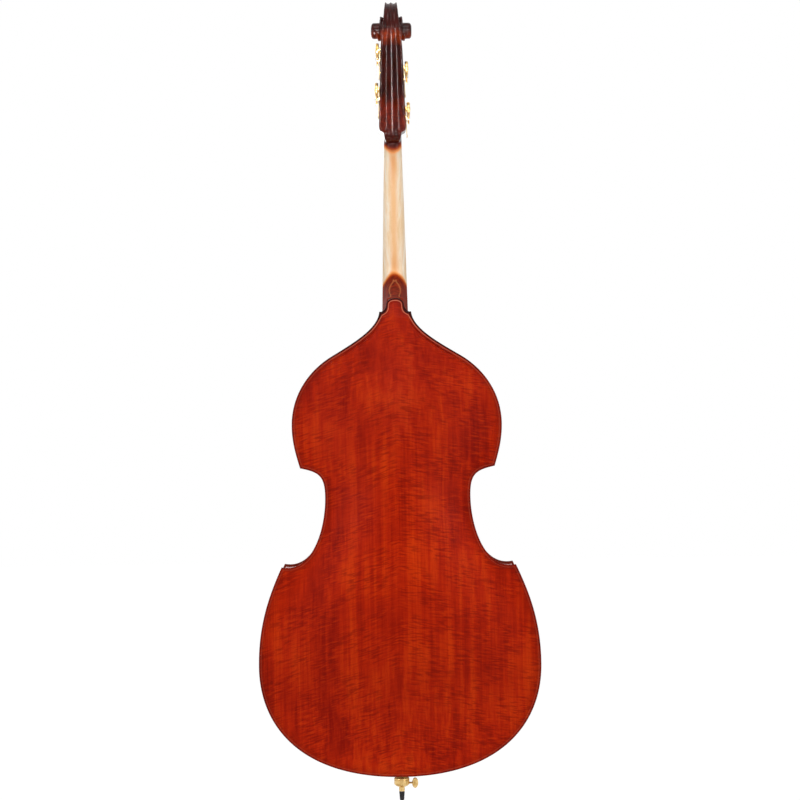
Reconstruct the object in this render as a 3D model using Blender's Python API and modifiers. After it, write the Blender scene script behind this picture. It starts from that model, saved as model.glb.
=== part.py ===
"""A three-quarter size double bass, standing upright on its endpin.

Strings face -Y, the arched back faces +Y, the scroll is at the top (+Z). Metres.
Heights in this file are measured from the bottom edge of the body; node() lifts
every piece by BODY_UP, so that the foot of the endpin stands at the origin.
"""

import math

import bmesh
import bpy
import numpy as np
from mathutils import Matrix, Vector

MM = 0.001
JOINT = 0.3 * MM  # clearance left in every glue line and running fit

# Body: outline (half widths and heights of its widest and narrowest places)
BODY_UP = 68 * MM
LOWER_BOUT = (335 * MM, 265 * MM)
LOWER_CORNER = (278 * MM, 500.5 * MM)
WAIST = (172.4 * MM, 665 * MM)
UPPER_CORNER = (231 * MM, 734.5 * MM)
UPPER_BOUT = (249.7 * MM, 835 * MM)
SHOULDER_BEND = (152.3 * MM, 1000 * MM)
SHOULDER_END = (38 * MM, 1105 * MM)
BUTTON_HALF = 20.5 * MM
BUTTON_TOP = 1137 * MM

# Body: depth
RIB_DEPTH = 200 * MM
TAPER_START = 760 * MM  # the back leans towards the front above this height
TAPER_SLOPE = 0.068
RIB_THICK = 3 * MM
OVERHANG = 6 * MM
EDGE_THICK = 7 * MM
TOP_ARCH = 28 * MM
BACK_ARCH = 36 * MM
LINING = (8 * MM, 18 * MM)

# Neck, fingerboard and strings
NUT_Z = 1531 * MM
NUT_LENGTH = 8 * MM
GLUE_Y = -80.5 * MM  # face of the neck under the fingerboard, at the nut
GLUE_SLOPE = 0.1622
NECK_HALF = 21.5 * MM
NECK_FLARE = 0.024
NECK_THICK = 24 * MM
BOARD_LENGTH = 849 * MM
BOARD_THICK = (17 * MM, 27 * MM)
BOARD_RADIUS = 65 * MM
STRING_NUT_Y = -99.5 * MM
STRING_BRIDGE_Y = -290 * MM
BRIDGE_Z = 488 * MM
BRIDGE_TOP_THICK = 7 * MM
BRIDGE_FOOT_THICK = 22 * MM
TAIL_TOP = (345 * MM, -240 * MM)  # height and front face of the tailpiece's wide end
TAIL_FOOT = (48 * MM, -140 * MM)
# per string: name, diameter, place across the nut, bridge and tailpiece
STRINGS = (
    ("string_e", 2.8 * MM, -15 * MM, -42 * MM, -33 * MM),
    ("string_a", 2.2 * MM, -5 * MM, -14 * MM, -11 * MM),
    ("string_d", 1.8 * MM, 5 * MM, 14 * MM, 11 * MM),
    ("string_g", 1.4 * MM, 15 * MM, 42 * MM, 33 * MM),
)

# Pegbox and scroll, measured from the nut (depth backwards, height upwards)
CHEEK_HALF = (33 * MM, 26.5 * MM)  # at the two heights below
CHEEK_Z = (24 * MM, 205 * MM)
CHEEK_THICK = 13 * MM
EYE = (92 * MM, 253 * MM)
EYE_RADIUS = 19.5 * MM
EYE_HALF = 49 * MM
VOLUTE_START = -20
VOLUTE_STEP = 18
VOLUTE_TURNS = 2

# Worm machines: side, string, height above the nut
MACHINES = (
    (-1, "e", 49 * MM),
    (1, "g", 94 * MM),
    (-1, "a", 142 * MM),
    (1, "d", 183 * MM),
)
MACHINE_LEAN = math.radians(6)
GEAR_TEETH = 20
GEAR_PITCH_R = 15.5 * MM
WORM_PITCH_R = 3.5 * MM
GEAR_OUT = 6.5 * MM  # the gear's middle plane, out from the cheek
GEAR_WIDTH = 4.5 * MM
ROLLER_R = 8 * MM
JOURNAL_R = 4.6 * MM
KEY_REACH = 58 * MM
KEY_HEAD = 8 * MM  # thickness of the head that the fingers turn

# Endpin
COLLAR_FOOT = -45.7 * MM
PIN_R = 5 * MM
PIN_TOP = 330 * MM

scene = bpy.context.scene
model = None
cutters = None


# ---------------------------------------------------------------- scene set-up
def clear_scene():
    for obj in list(bpy.data.objects):
        bpy.data.objects.remove(obj, do_unlink=True)


def new_collection(name, hidden):
    made = bpy.data.collections.new(name)
    scene.collection.children.link(made)
    made.hide_render = hidden
    return made


def material(name, colour, metallic, roughness):
    made = bpy.data.materials.new(name)
    made.use_nodes = True
    made.diffuse_color = (*colour, 1)
    shader = made.node_tree.nodes["Principled BSDF"]
    shader.inputs["Base Color"].default_value = (*colour, 1)
    shader.inputs["Metallic"].default_value = metallic
    shader.inputs["Roughness"].default_value = roughness
    return made


# ------------------------------------------------------------ geometry helpers
def work(mesh, name="work"):
    """A construction object that holds a mesh."""
    obj = bpy.data.objects.new(name, mesh)
    cutters.objects.link(obj)
    obj.display_type = "WIRE"
    return obj


def tidy(mesh):
    """Welds doubles and turns every face outwards."""
    edit = bmesh.new()
    edit.from_mesh(mesh)
    bmesh.ops.remove_doubles(edit, verts=edit.verts, dist=0.00001)
    bmesh.ops.dissolve_degenerate(edit, edges=edit.edges, dist=0.000005)
    bmesh.ops.recalc_face_normals(edit, faces=edit.faces)
    edit.to_mesh(mesh)
    edit.free()
    return mesh


def faces_mesh(points, faces):
    mesh = bpy.data.meshes.new("work")
    mesh.from_pydata([tuple(p) for p in points], [], faces)
    return tidy(mesh)


def loft(sections):
    """Skins a row of closed sections with equal point counts, and caps both ends."""
    count = len(sections[0])
    points = [p for section in sections for p in section]
    faces = []
    for row in range(len(sections) - 1):
        for k in range(count):
            a = row * count + k
            b = row * count + (k + 1) % count
            faces.append((a, b, b + count, a + count))
    faces.append(tuple(range(count)))
    last = (len(sections) - 1) * count
    faces.append(tuple(last + k for k in reversed(range(count))))
    return faces_mesh(points, faces)


def baked(obj):
    """The evaluated mesh of an object, in world space; the object is removed."""
    bpy.context.view_layer.update()
    graph = bpy.context.evaluated_depsgraph_get()
    mesh = bpy.data.meshes.new_from_object(obj.evaluated_get(graph), depsgraph=graph)
    mesh.transform(obj.matrix_world)
    bpy.data.objects.remove(obj, do_unlink=True)
    return tidy(mesh)


def slab(outline, low, high, holes=()):
    """A flat outline given as (y, z), filled and extruded along X from low to high."""
    curve = bpy.data.curves.new("slab", "CURVE")
    curve.dimensions = "2D"
    curve.fill_mode = "BOTH"
    curve.extrude = abs(high - low) / 2
    for ring in (outline, *holes):
        spline = curve.splines.new("POLY")
        spline.points.add(len(ring) - 1)
        for point, (u, v) in zip(spline.points, ring):
            point.co = (u, v, 0, 1)
        spline.use_cyclic_u = True
    obj = bpy.data.objects.new("slab", curve)
    cutters.objects.link(obj)
    # local x, y, z become world y, z, x
    turn = Matrix(((0, 0, 1), (1, 0, 0), (0, 1, 0))).to_4x4()
    obj.matrix_world = Matrix.Translation(((low + high) / 2, 0, 0)) @ turn
    return baked(obj)


def facing_y(outline, low, high, holes=()):
    """A flat outline given as (x, z), filled and extruded along Y from low to high."""
    mesh = slab(outline, low, high, holes)
    # world (x, y, z) of the slab holds (depth, x, z)
    mesh.transform(Matrix(((0, 1, 0), (1, 0, 0), (0, 0, 1))).to_4x4())
    return tidy(mesh)


def tube(path, radius, resolution=1):
    """A round cord along a row of points, with flat filled ends."""
    curve = bpy.data.curves.new("tube", "CURVE")
    curve.dimensions = "3D"
    curve.bevel_depth = radius
    curve.bevel_resolution = resolution
    curve.use_fill_caps = True
    curve.twist_mode = "MINIMUM"
    spline = curve.splines.new("POLY")
    spline.points.add(len(path) - 1)
    for point, place in zip(spline.points, path):
        point.co = (*place, 1)
    obj = bpy.data.objects.new("tube", curve)
    cutters.objects.link(obj)
    return baked(obj)


def turned(profile, steps, centre=(0, 0, 0), axis="Z"):
    """A profile of (radius, height) pairs, top to bottom, turned about an axis."""
    mesh = bpy.data.meshes.new("turned")
    points = [(r, 0, h) for r, h in profile]
    edges = [(k, k + 1) for k in range(len(profile) - 1)]
    mesh.from_pydata(points, edges, [])
    obj = work(mesh)
    screw = obj.modifiers.new("Screw", "SCREW")
    screw.steps = steps
    screw.render_steps = steps
    screw.use_merge_vertices = True
    screw.merge_threshold = 0.00001
    turn = {
        "Z": Matrix.Identity(4),
        "X": Matrix.Rotation(math.radians(90), 4, "Y"),
        "Y": Matrix.Rotation(math.radians(-90), 4, "X"),
    }[axis]
    obj.matrix_world = Matrix.Translation(centre) @ turn
    return baked(obj)


def box(low, high):
    bpy.ops.mesh.primitive_cube_add(size=1)
    obj = bpy.context.active_object
    size = [h - l for l, h in zip(low, high)]
    middle = [(h + l) / 2 for l, h in zip(low, high)]
    obj.matrix_world = Matrix.Translation(middle) @ Matrix.Diagonal((*size, 1))
    return baked(obj)


def boolean(mesh, other, operation):
    """Joins or cuts two closed meshes."""
    first = work(mesh)
    second = work(other)
    step = first.modifiers.new("Boolean", "BOOLEAN")
    step.operation = operation
    step.solver = "EXACT"
    step.object = second
    result = baked(first)
    bpy.data.objects.remove(second, do_unlink=True)
    return result


def cut(mesh, *others):
    for other in others:
        mesh = boolean(mesh, other, "DIFFERENCE")
    return mesh


def join(mesh, *others):
    for other in others:
        mesh = boolean(mesh, other, "UNION")
    return mesh


def moved(mesh, x=0.0, y=0.0, z=0.0):
    copy = mesh.copy()
    copy.transform(Matrix.Translation((x, y, z)))
    return copy


def mirrored(mesh):
    copy = mesh.copy()
    copy.transform(Matrix.Diagonal((-1, 1, 1, 1)))
    return tidy(copy)


def bent(mesh, rule):
    """Moves every point of a mesh by a rule of its place."""
    for vertex in mesh.vertices:
        vertex.co = rule(vertex.co.copy())
    return mesh


def node(name, mesh, look, pivot=None):
    """Adds one named piece, lifted onto the floor, with its origin on its joint axis."""
    mesh.transform(Matrix.Translation((0, 0, BODY_UP)))
    place = Vector((0, 0, 0))
    if pivot is not None:
        place = Vector(pivot) + Vector((0, 0, BODY_UP))
        mesh.transform(Matrix.Translation(-place))
    mesh.name = name
    mesh.materials.clear()
    mesh.materials.append(look)
    obj = bpy.data.objects.new(name, mesh)
    obj.location = place
    model.objects.link(obj)
    return obj


# ------------------------------------------------------------ outline and arch
def bezier(start, handle_a, handle_b, end, steps):
    """Points of one cubic arc, its last end left out."""
    t = np.linspace(0, 1, steps + 1)[:-1, None]
    a, b, c, d = (np.array(p) for p in (start, handle_a, handle_b, end))
    arc = (1 - t) ** 3 * a + 3 * (1 - t) ** 2 * t * b
    arc = arc + 3 * (1 - t) * t**2 * c + t**3 * d
    return [tuple(p) for p in arc]


def half_outline():
    """The right half of the plates' outline, and where each rib ends along it."""
    lx, lz = LOWER_BOUT
    cx, cz = LOWER_CORNER
    wx, wz = WAIST
    ux, uz = UPPER_CORNER
    bx, bz = UPPER_BOUT
    sx, sz = SHOULDER_BEND
    ex, ez = SHOULDER_END
    lower = bezier((0, 0), (231 * MM, 0), (lx, lz - 147 * MM), (lx, lz), 8)
    lower += bezier((lx, lz), (lx, lz + 98 * MM), (cx + 32 * MM, cz - 69 * MM), (cx, cz), 4)
    middle = bezier((cx, cz), (cx - 72 * MM, cz - 15 * MM), (wx, wz - 77 * MM), (wx, wz), 5)
    middle += bezier((wx, wz), (wx, wz + 52 * MM), (ux - 44 * MM, uz - 9.5 * MM), (ux, uz), 5)
    upper = bezier((ux, uz), (ux + 9 * MM, uz + 30 * MM), (bx, bz - 39 * MM), (bx, bz), 3)
    upper += bezier((bx, bz), (bx, bz + 78 * MM), (sx + 51 * MM, sz - 30 * MM), (sx, sz), 5)
    upper += bezier((sx, sz), (sx - 57 * MM, sz + 34 * MM), (ex + 3 * MM, ez - 39 * MM), (ex, ez), 5)
    points = lower + middle + upper + [SHOULDER_END]
    return points, (0, len(lower), len(lower) + len(middle), len(points) - 1)


def closed_outline(half, top=()):
    """Both halves as one loop, anticlockwise seen from the front, with extra top points."""
    left = [(-x, z) for x, z in reversed(half[1:])]
    crown = list(top) + [(-x, z) for x, z in reversed(top) if x > 0]
    return half + crown + left


def inset(loop, distance):
    """A closed outline moved inwards, with mitred corners."""
    points = np.array(loop)
    before = points - np.roll(points, 1, axis=0)
    after = np.roll(points, -1, axis=0) - points
    before /= np.linalg.norm(before, axis=1)[:, None]
    after /= np.linalg.norm(after, axis=1)[:, None]
    n_before = np.stack([-before[:, 1], before[:, 0]], axis=1)
    n_after = np.stack([-after[:, 1], after[:, 0]], axis=1)
    mitre = n_before + n_after
    scale = distance * 2 / (mitre**2).sum(axis=1)
    moved_to = points + mitre * scale[:, None]
    return [tuple(p) for p in moved_to]


def back_edge(z):
    """Depth of the ribs' back edge; it leans forwards towards the neck."""
    past = z - TAPER_START
    soft = 50 * MM
    rise = (math.sqrt(past**2 + soft**2) + past) / 2
    return RIB_DEPTH / 2 - TAPER_SLOPE * rise


def front_edge(z):
    return -RIB_DEPTH / 2


def arch_width(z):
    """Half width of the arched field: the outline without its corners."""
    lx, lz = LOWER_BOUT
    wx, wz = WAIST
    bx, bz = UPPER_BOUT
    margin = 14 * MM
    if z < lz:
        u = (lz - z) / (lz - margin)
        return (lx - margin) * math.sqrt(max(0.0, 1 - u**2.4))
    if z > bz:
        u = (z - bz) / (SHOULDER_END[1] - margin - bz)
        return (bx - margin) * math.sqrt(max(0.0, 1 - u**2.2))
    if z < wz:
        u = (z - lz) / (wz - lz)
        wide = lx
    else:
        u = (bz - z) / (bz - wz)
        wide = bx
    blend = (1 - math.cos(math.pi * u)) / 2
    return wide + (wx - wide) * blend - margin


def arch(x, z, height):
    """Rise of the arching over the edge, at one place of a plate."""
    width = arch_width(z)
    if width <= 0 or abs(x) >= width:
        return 0.0
    across = math.cos(math.pi / 2 * abs(x) / width) ** 1.35
    ends = min(z - 14 * MM, SHOULDER_END[1] - 14 * MM - z) / (330 * MM)
    along = math.sin(math.pi / 2 * max(0.0, min(1.0, ends))) ** 0.9
    return height * across * along


def spine_height(z):
    """Where the rings of a plate close up on its centre line."""
    low, high = 380 * MM, 800 * MM
    if z < low:
        return 190 * MM + z / 2
    if z > high:
        return high + (z - high) * 0.43
    return z


def plate(loop, edge, side, height):
    """An arched, hollowed plate: side is +1 for the back and -1 for the top."""

    def ring(points, rise):
        return [(x, edge(z) + side * (JOINT + rise(x, z)), z) for x, z in points]

    def towards_spine(points, s):
        return [((1 - s) * x, (1 - s) * z + s * spine_height(z)) for x, z in points]

    def outer(x, z):
        return EDGE_THICK - 1.5 * MM + arch(x, z, height)

    def inner(x, z):
        return max(0.0, arch(x, z, height) - 1.2 * MM)

    rim = inset(loop, 12 * MM)
    landing = inset(loop, 14 * MM)
    rings = [ring(towards_spine(landing, s), inner) for s in (1, 0.6, 0.3)]
    rings += [ring(landing, lambda x, z: 0)]
    rings += [ring(loop, lambda x, z: 0)]
    rings += [ring(loop, lambda x, z: EDGE_THICK - 2 * MM)]
    rings += [ring(inset(loop, 2.5 * MM), lambda x, z: EDGE_THICK)]
    rings += [ring(towards_spine(rim, s), outer) for s in (0, 0.25, 0.5, 0.75, 1)]
    points = [p for r in rings for p in r]
    count = len(loop)
    faces = []
    for row in range(len(rings) - 1):
        for k in range(count):
            a = row * count + k
            b = row * count + (k + 1) % count
            faces.append((a, b, b + count, a + count))
    return faces_mesh(points, faces)


def wall(outer, inner, low, high):
    """A strip standing between two lines, from depth rule low to depth rule high."""
    sections = []
    for (ax, az), (bx, bz) in zip(outer, inner):
        sections.append(
            [(ax, low(az), az), (ax, high(az), az), (bx, high(bz), bz), (bx, low(bz), bz)]
        )
    return loft(sections)


def block(ring, low, high):
    """A solid block with an outline in the plane of the plates."""
    front = [(x, low(z), z) for x, z in ring]
    back = [(x, high(z), z) for x, z in ring]
    return loft([front, back])


def pulled(line, end, distance):
    """A line with one end drawn back along itself."""
    line = [np.array(p) for p in line]
    a, b = (0, 1) if end == 0 else (-1, -2)
    step = line[b] - line[a]
    line[a] = line[a] + step / np.linalg.norm(step) * distance
    return [tuple(p) for p in line]


def flip(line):
    return [(-x, z) for x, z in line]


def f_hole(side):
    """The cutters of one f-hole: a swelling S stem and two round eyes."""
    stem = (
        (62, 596, 1.6), (68, 607, 2.2), (80, 611, 3), (92, 602, 4), (99, 580, 5),
        (101, 545, 5.6), (99, 500, 6), (97, 455, 5.6), (99, 415, 5),
        (106, 392, 4), (118, 381, 3), (131, 382, 2.2), (138, 391, 1.6),
    )
    path = np.array([(x, z) for x, z, w in stem]) * MM
    widths = np.array([w for x, z, w in stem]) * MM
    along = np.gradient(path, axis=0)
    along /= np.linalg.norm(along, axis=1)[:, None]
    normal = np.stack([-along[:, 1], along[:, 0]], axis=1)
    left = path + normal * widths[:, None]
    right = path - normal * widths[:, None]
    ring = [(side * x, z) for x, z in [*left, *right[::-1]]]
    deep = (-RIB_DEPTH / 2 - 45 * MM, -RIB_DEPTH / 2 + 10 * MM)
    made = [facing_y(ring, *deep)]
    for x, z, r in ((68, 590, 11), (128, 397, 15)):
        made.append(
            turned(
                [(0, deep[1]), (r * MM, deep[1]), (r * MM, deep[0]), (0, deep[0])],
                12,
                (side * x * MM, 0, z * MM),
                "Y",
            )
        )
    return made


# -------------------------------------------------------------- neck and board
def glue_face(z):
    """Depth of the neck's face under the fingerboard."""
    return GLUE_Y - GLUE_SLOPE * (NUT_Z - z)


def neck_half(z):
    return NECK_HALF + NECK_FLARE * (NUT_Z - z)


def string_depth(z):
    slope = (STRING_NUT_Y - STRING_BRIDGE_Y) / (NUT_Z - BRIDGE_Z)
    return STRING_BRIDGE_Y + slope * (z - BRIDGE_Z)


def heel_depth(z):
    """How far the neck reaches back from its glue face."""
    slim = NECK_THICK + 0.012 * (NUT_Z - z)
    full = back_edge(z) - glue_face(z)
    if z <= BUTTON_TOP:
        return full
    u = min(1.0, (z - BUTTON_TOP) / (92 * MM))
    return slim + (full - slim) * (1 - u) ** 2.2


def heel_facet(z):
    """Half width of the heel's back face: as wide as the button, then waisted over it."""
    heights = (1137, 1142, 1150, 1158, 1168, 1178, 1190)
    widths = (19.5, 11, 12.5, 14, 12.5, 8, 6)
    return float(np.interp(z / MM, heights, widths)) * MM


def neck_section(z):
    """One level of the neck: flat in front, round behind, deep and tapered at the heel."""
    half = neck_half(z)
    depth = heel_depth(z)
    heel = max(0.0, min(1.0, 1 - (z - BUTTON_TOP) / (80 * MM)))
    foot = heel_facet(z)
    points = []
    for k, (side, back) in enumerate(((0.02, 0), (0.35, 0.33), (0.7, 0.68), (0.96, 1), (1, 1))):
        angle = math.pi / 8 * k
        x_round = half * math.cos(angle) ** 0.85 if k < 4 else 0.0
        b_round = 5 * MM + (depth - 5 * MM) * math.sin(angle) ** 0.9
        x_heel = half + (foot - half) * back if k < 4 else 0.0
        b_heel = max(5 * MM, depth * side)
        x = x_round + (x_heel - x_round) * heel
        b = b_round + (b_heel - b_round) * heel
        points.append((x, b))
    right = [(half, 0.0)] + points
    left = [(-x, b) for x, b in reversed(right[:-1])]
    y = glue_face(z)
    return [(x, y + b, z) for x, b in right + left]


def cheek_half(dz):
    """Half width of the pegbox, dz above the nut."""
    slope = (CHEEK_HALF[1] - CHEEK_HALF[0]) / (CHEEK_Z[1] - CHEEK_Z[0])
    return CHEEK_HALF[0] + slope * (dz - CHEEK_Z[0])


def cheek_front(dz):
    return GLUE_Y + 0.52 * dz - 4 * MM


def cheek_back(dz):
    return GLUE_Y + 62 * MM + 0.408 * dz


def pegbox_section(dz, half, front, back, flute):
    """One level of the pegbox, with two flutes and a ridge down its back."""
    right = [
        (half, front),
        (half, back - 5 * MM),
        (half * 0.84, back),
        (half * 0.44, back - flute),
        (0.0, back - 0.6 * MM),
    ]
    left = [(-x, y) for x, y in reversed(right[:-1])]
    return [(x, y, NUT_Z + dz) for x, y in right + left]


def pegbox():
    """The pegbox with its chin, before the cavity is cut."""
    rows = (
        (-9, 17, glue_face(NUT_Z - 9 * MM), GLUE_Y + 34 * MM, 1),
        (-5, 19, glue_face(NUT_Z - 5 * MM), GLUE_Y + 52 * MM, 2),
        (2, 20.5, glue_face(NUT_Z + 2 * MM), GLUE_Y + 61 * MM, 3),
        (11, 21.5, glue_face(NUT_Z + 11 * MM), cheek_back(11 * MM), 4),
        (16, 31, glue_face(NUT_Z + 16 * MM), cheek_back(16 * MM), 4),
        (24, 33, cheek_front(24 * MM), cheek_back(24 * MM), 4),
        (115, cheek_half(115 * MM) / MM, cheek_front(115 * MM), cheek_back(115 * MM), 5),
        (205, 26.5, cheek_front(205 * MM), cheek_back(205 * MM), 4),
        (228, 24.3, GLUE_Y + 110 * MM, cheek_back(228 * MM), 3.4),
        (250, 21.3, GLUE_Y + 118 * MM, cheek_back(250 * MM) - 0.8 * MM, 3),
    )
    return loft([pegbox_section(dz * MM, w * MM, f, b, d * MM) for dz, w, f, b, d in rows])


def volute_radius(degrees):
    """Radius of the scroll's spiral; it halves with every turn."""
    if degrees < 0:
        return (73 + degrees * 0.35) * MM
    if degrees < 90:
        return (73 - degrees * 4 / 90) * MM
    return 69 * MM * 0.5 ** ((degrees - 90) / 360)


def volute_half(degrees):
    """Half width of the scroll along its spiral: narrow on top, widest at the eye."""
    turns = (-20, 0, 30, 60, 90, 120, 180, 270, 360, 450, 540, 630, 720)
    widths = (24.4, 21, 17.5, 15, 14, 13.8, 15.5, 21, 26.5, 28, 30, 33, 36)
    return float(np.interp(degrees, turns, widths)) * MM


def volute():
    """The carved scroll: a helical stair of walls and ledges round the eye."""
    steps = 360 // VOLUTE_STEP
    angles = [VOLUTE_START + VOLUTE_STEP * k for k in range(VOLUTE_TURNS * steps + 1)]
    points = []

    def put(radius, x, degrees):
        turn = math.radians(degrees)
        y = GLUE_Y + EYE[0] + radius * math.cos(turn)
        z = NUT_Z + EYE[1] + radius * math.sin(turn)
        points.append((x, y, z))
        return len(points) - 1

    faces = []
    crest = []
    edge = {1: [], -1: []}
    foot = {1: {}, -1: {}}
    for k, angle in enumerate(angles):
        r = volute_radius(angle)
        w = volute_half(angle)
        for side in (1, -1):
            edge[side].append(put(r, side * w, angle))
            if k >= steps:
                foot[side][k] = put(r, side * volute_half(angle - 360), angle)
        if k <= steps:
            hollow = r - 3 * MM
            inner = [put(hollow, w * 0.5, angle), put(r - 0.6 * MM, 0, angle)]
            inner.append(put(hollow, -w * 0.5, angle))
            crest.append([edge[1][k], *inner, edge[-1][k]])
    core = {1: [], -1: []}
    for side in (1, -1):
        for k in range(steps, len(angles)):
            core[side].append(put(10 * MM, side * volute_half(angles[k]), angles[k]))
    hub = {side: put(0, side * 30 * MM, 0) for side in (1, -1)}
    for k in range(steps):
        for j in range(4):
            faces.append((crest[k][j], crest[k][j + 1], crest[k + 1][j + 1], crest[k + 1][j]))
    for side in (1, -1):
        rim, base, inner = edge[side], foot[side], core[side]
        for k in range(steps):
            faces.append((rim[k], rim[k + 1], base[k + 1 + steps], base[k + steps]))
        for k in range(steps, 2 * steps):
            faces.append((base[k], base[k + 1], rim[k + 1], rim[k]))
            j = k - steps
            corner = (base[2 * steps],) if j == 0 else ()
            faces.append((rim[k], rim[k + 1], inner[j + 1], inner[j], *corner))
            faces.append((inner[j], inner[j + 1], hub[side]))
        # the end of the last turn steps down to the ledge where it began
        faces.append((rim[2 * steps], inner[-1], hub[side], inner[0], base[2 * steps]))
    start = [edge[1][0], foot[1][steps], edge[1][steps], *crest[steps][1:4]]
    start += [edge[-1][steps], foot[-1][steps], edge[-1][0], *reversed(crest[0][1:4])]
    faces.append(tuple(start))
    return faces_mesh(points, faces)


def lever(machine):
    """Axis point of a machine's roller: side, depth and height."""
    side, letter, dz = machine
    return side, GLUE_Y + 42 * MM + (dz - 43 * MM) * 0.47, NUT_Z + dz


# ------------------------------------------------------------------- machines
def in_place(mesh, machine):
    """Moves a machine piece from its own frame (out, back, up) onto the pegbox."""
    side, y, z = lever(machine)
    x = cheek_half(machine[2])
    lean = Matrix.Rotation(-MACHINE_LEAN, 4, "X")
    mesh.transform(Matrix.Translation((x, y, z)) @ lean)
    if side < 0:
        mesh = mirrored(mesh)
    return mesh


def machine_plate(machine):
    """Brass plate that follows the cheek, with two lugs that carry the worm."""
    worm = GEAR_PITCH_R + WORM_PITCH_R
    low, high = JOINT, JOINT + 1.6 * MM
    ring = [(15, 27), (8, 29), (-8, 29), (-15, 27), (-15, 12), (-13, -2), (-13, -10)]
    ring += [(-19, -27), (-25, -44), (-22, -50), (-16, -50), (-11, -46), (2, -15)]
    ring += [(12, -7), (15, 6)]
    mesh = slab([(y * MM, z * MM) for y, z in ring], low, high)
    for end in (-1, 1):
        lug = box(
            (low + 0.4 * MM, end * 12.5 * MM - 2 * MM, worm - 5.5 * MM),
            (GEAR_OUT + 5 * MM, end * 12.5 * MM + 2 * MM, worm + 5.5 * MM),
        )
        mesh = join(mesh, lug)
    bore = tube([(GEAR_OUT, -30 * MM, worm), (GEAR_OUT, 30 * MM, worm)], 2.5 * MM, 2)
    hole = tube([(-5 * MM, 0, 0), (20 * MM, 0, 0)], JOURNAL_R + 0.4 * MM, 2)
    mesh = cut(mesh, bore, hole)
    slope = (CHEEK_HALF[1] - CHEEK_HALF[0]) / (CHEEK_Z[1] - CHEEK_Z[0])
    lean = math.tan(MACHINE_LEAN)

    def follow(p):
        if p.x < high + 0.1 * MM:
            p.x += slope * (p.z - lean * p.y) + 0.02 * MM
        return p

    return in_place(bent(mesh, follow), machine)


def worm_wheel(machine):
    """Gear with straight teeth; a gap faces the worm above it."""
    root, tip = GEAR_PITCH_R - 1.1 * MM, GEAR_PITCH_R + 0.9 * MM
    step = 2 * math.pi / GEAR_TEETH
    ring = []
    for k in range(GEAR_TEETH):
        middle = math.pi / 2 + step * (k + 0.5)
        for r, half in ((root, -0.25), (tip, -0.12), (tip, 0.12), (root, 0.25)):
            angle = middle + half * step
            ring.append((r * math.cos(angle), r * math.sin(angle)))
    bore = [
        ((JOURNAL_R - 0.7 * MM) * math.cos(a), (JOURNAL_R - 0.7 * MM) * math.sin(a))
        for a in np.linspace(0, 2 * math.pi, 9)[:-1]
    ]
    mesh = slab(ring, GEAR_OUT - GEAR_WIDTH / 2, GEAR_OUT + GEAR_WIDTH / 2, [bore])
    return in_place(mesh, machine)


def string_roller(machine):
    """Roller across the pegbox: barrel, journals, and a screw head over the gear."""
    near = cheek_half(machine[2])
    inside = near - CHEEK_THICK - 0.6 * MM
    seat = GEAR_OUT - GEAR_WIDTH / 2 - JOINT
    tail = -near + 3 * MM
    profile = [
        (0, near + GEAR_OUT + GEAR_WIDTH / 2 + 2.5 * MM),
        (2.5 * MM, near + GEAR_OUT + GEAR_WIDTH / 2 + 2.5 * MM),
        (3.4 * MM, near + GEAR_OUT + GEAR_WIDTH / 2 + 1.6 * MM),
        (3.4 * MM, near + seat),
        (JOURNAL_R, near + seat),
        (JOURNAL_R, inside),
        (ROLLER_R, inside),
        (ROLLER_R, -inside),
        (JOURNAL_R, -inside),
        (JOURNAL_R, tail),
        (0, tail),
    ]
    mesh = turned(profile, 10, (-near, 0, 0), "X")
    return in_place(mesh, machine)


def worm_key(machine):
    """Key: a single-start worm on a shaft, with a flat oval head for the fingers."""
    height = GEAR_PITCH_R + WORM_PITCH_R
    pitch = 2 * math.pi * GEAR_PITCH_R / GEAR_TEETH
    root, tip = 2.35 * MM, 4.25 * MM
    turns, per_turn = 3, 6
    centre = Vector((GEAR_OUT, 0, height))
    sections = []
    for k in range(turns * per_turn + 1):
        phase = 2 * math.pi * (k / per_turn - turns / 2)
        fade = min(1.0, k / 4, (turns * per_turn - k) / 4)
        top = root - 0.3 * MM + (tip - root + 0.3 * MM) * max(0.06, fade)
        section = []
        for r, along in ((root - 0.5 * MM, -1), (top, -0.5), (top, 0.5), (root - 0.5 * MM, 1)):
            y = pitch * phase / (2 * math.pi) + along * 0.95 * MM
            angle = phase - math.pi / 2
            section.append((r * math.cos(angle), y, r * math.sin(angle)))
        sections.append([Vector(p) + centre for p in section])
    thread = loft(sections)
    profile = [
        (0, KEY_REACH - 15 * MM),
        (3.2 * MM, KEY_REACH - 15 * MM),
        (2.2 * MM, KEY_REACH - 24 * MM),
        (2.2 * MM, 22 * MM),
        (4 * MM, 20 * MM),
        (4 * MM, 15 * MM),
        (2.2 * MM, 15 * MM),
        (2.2 * MM, 9.8 * MM),
        (root, 9.8 * MM),
        (root, -9.8 * MM),
        (2.2 * MM, -9.8 * MM),
        (2.2 * MM, -16.5 * MM),
        (0, -16.5 * MM),
    ]
    shaft = turned(profile, 8, tuple(centre), "Y")
    head = []
    for k in range(14):
        a = 2 * math.pi * k / 14
        swell = 1 + 0.12 * math.cos(2 * a)
        head.append((KEY_REACH + 18 * MM * math.cos(a) * swell * 0.9, height + 17.5 * MM * math.sin(a)))
    paddle = slab(head, GEAR_OUT - KEY_HEAD / 2, GEAR_OUT + KEY_HEAD / 2)
    return in_place(join(shaft, thread, paddle), machine)


# ----------------------------------------------------------------- build parts
clear_scene()
model = new_collection("double_bass", False)
cutters = new_collection("cutters", True)

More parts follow.
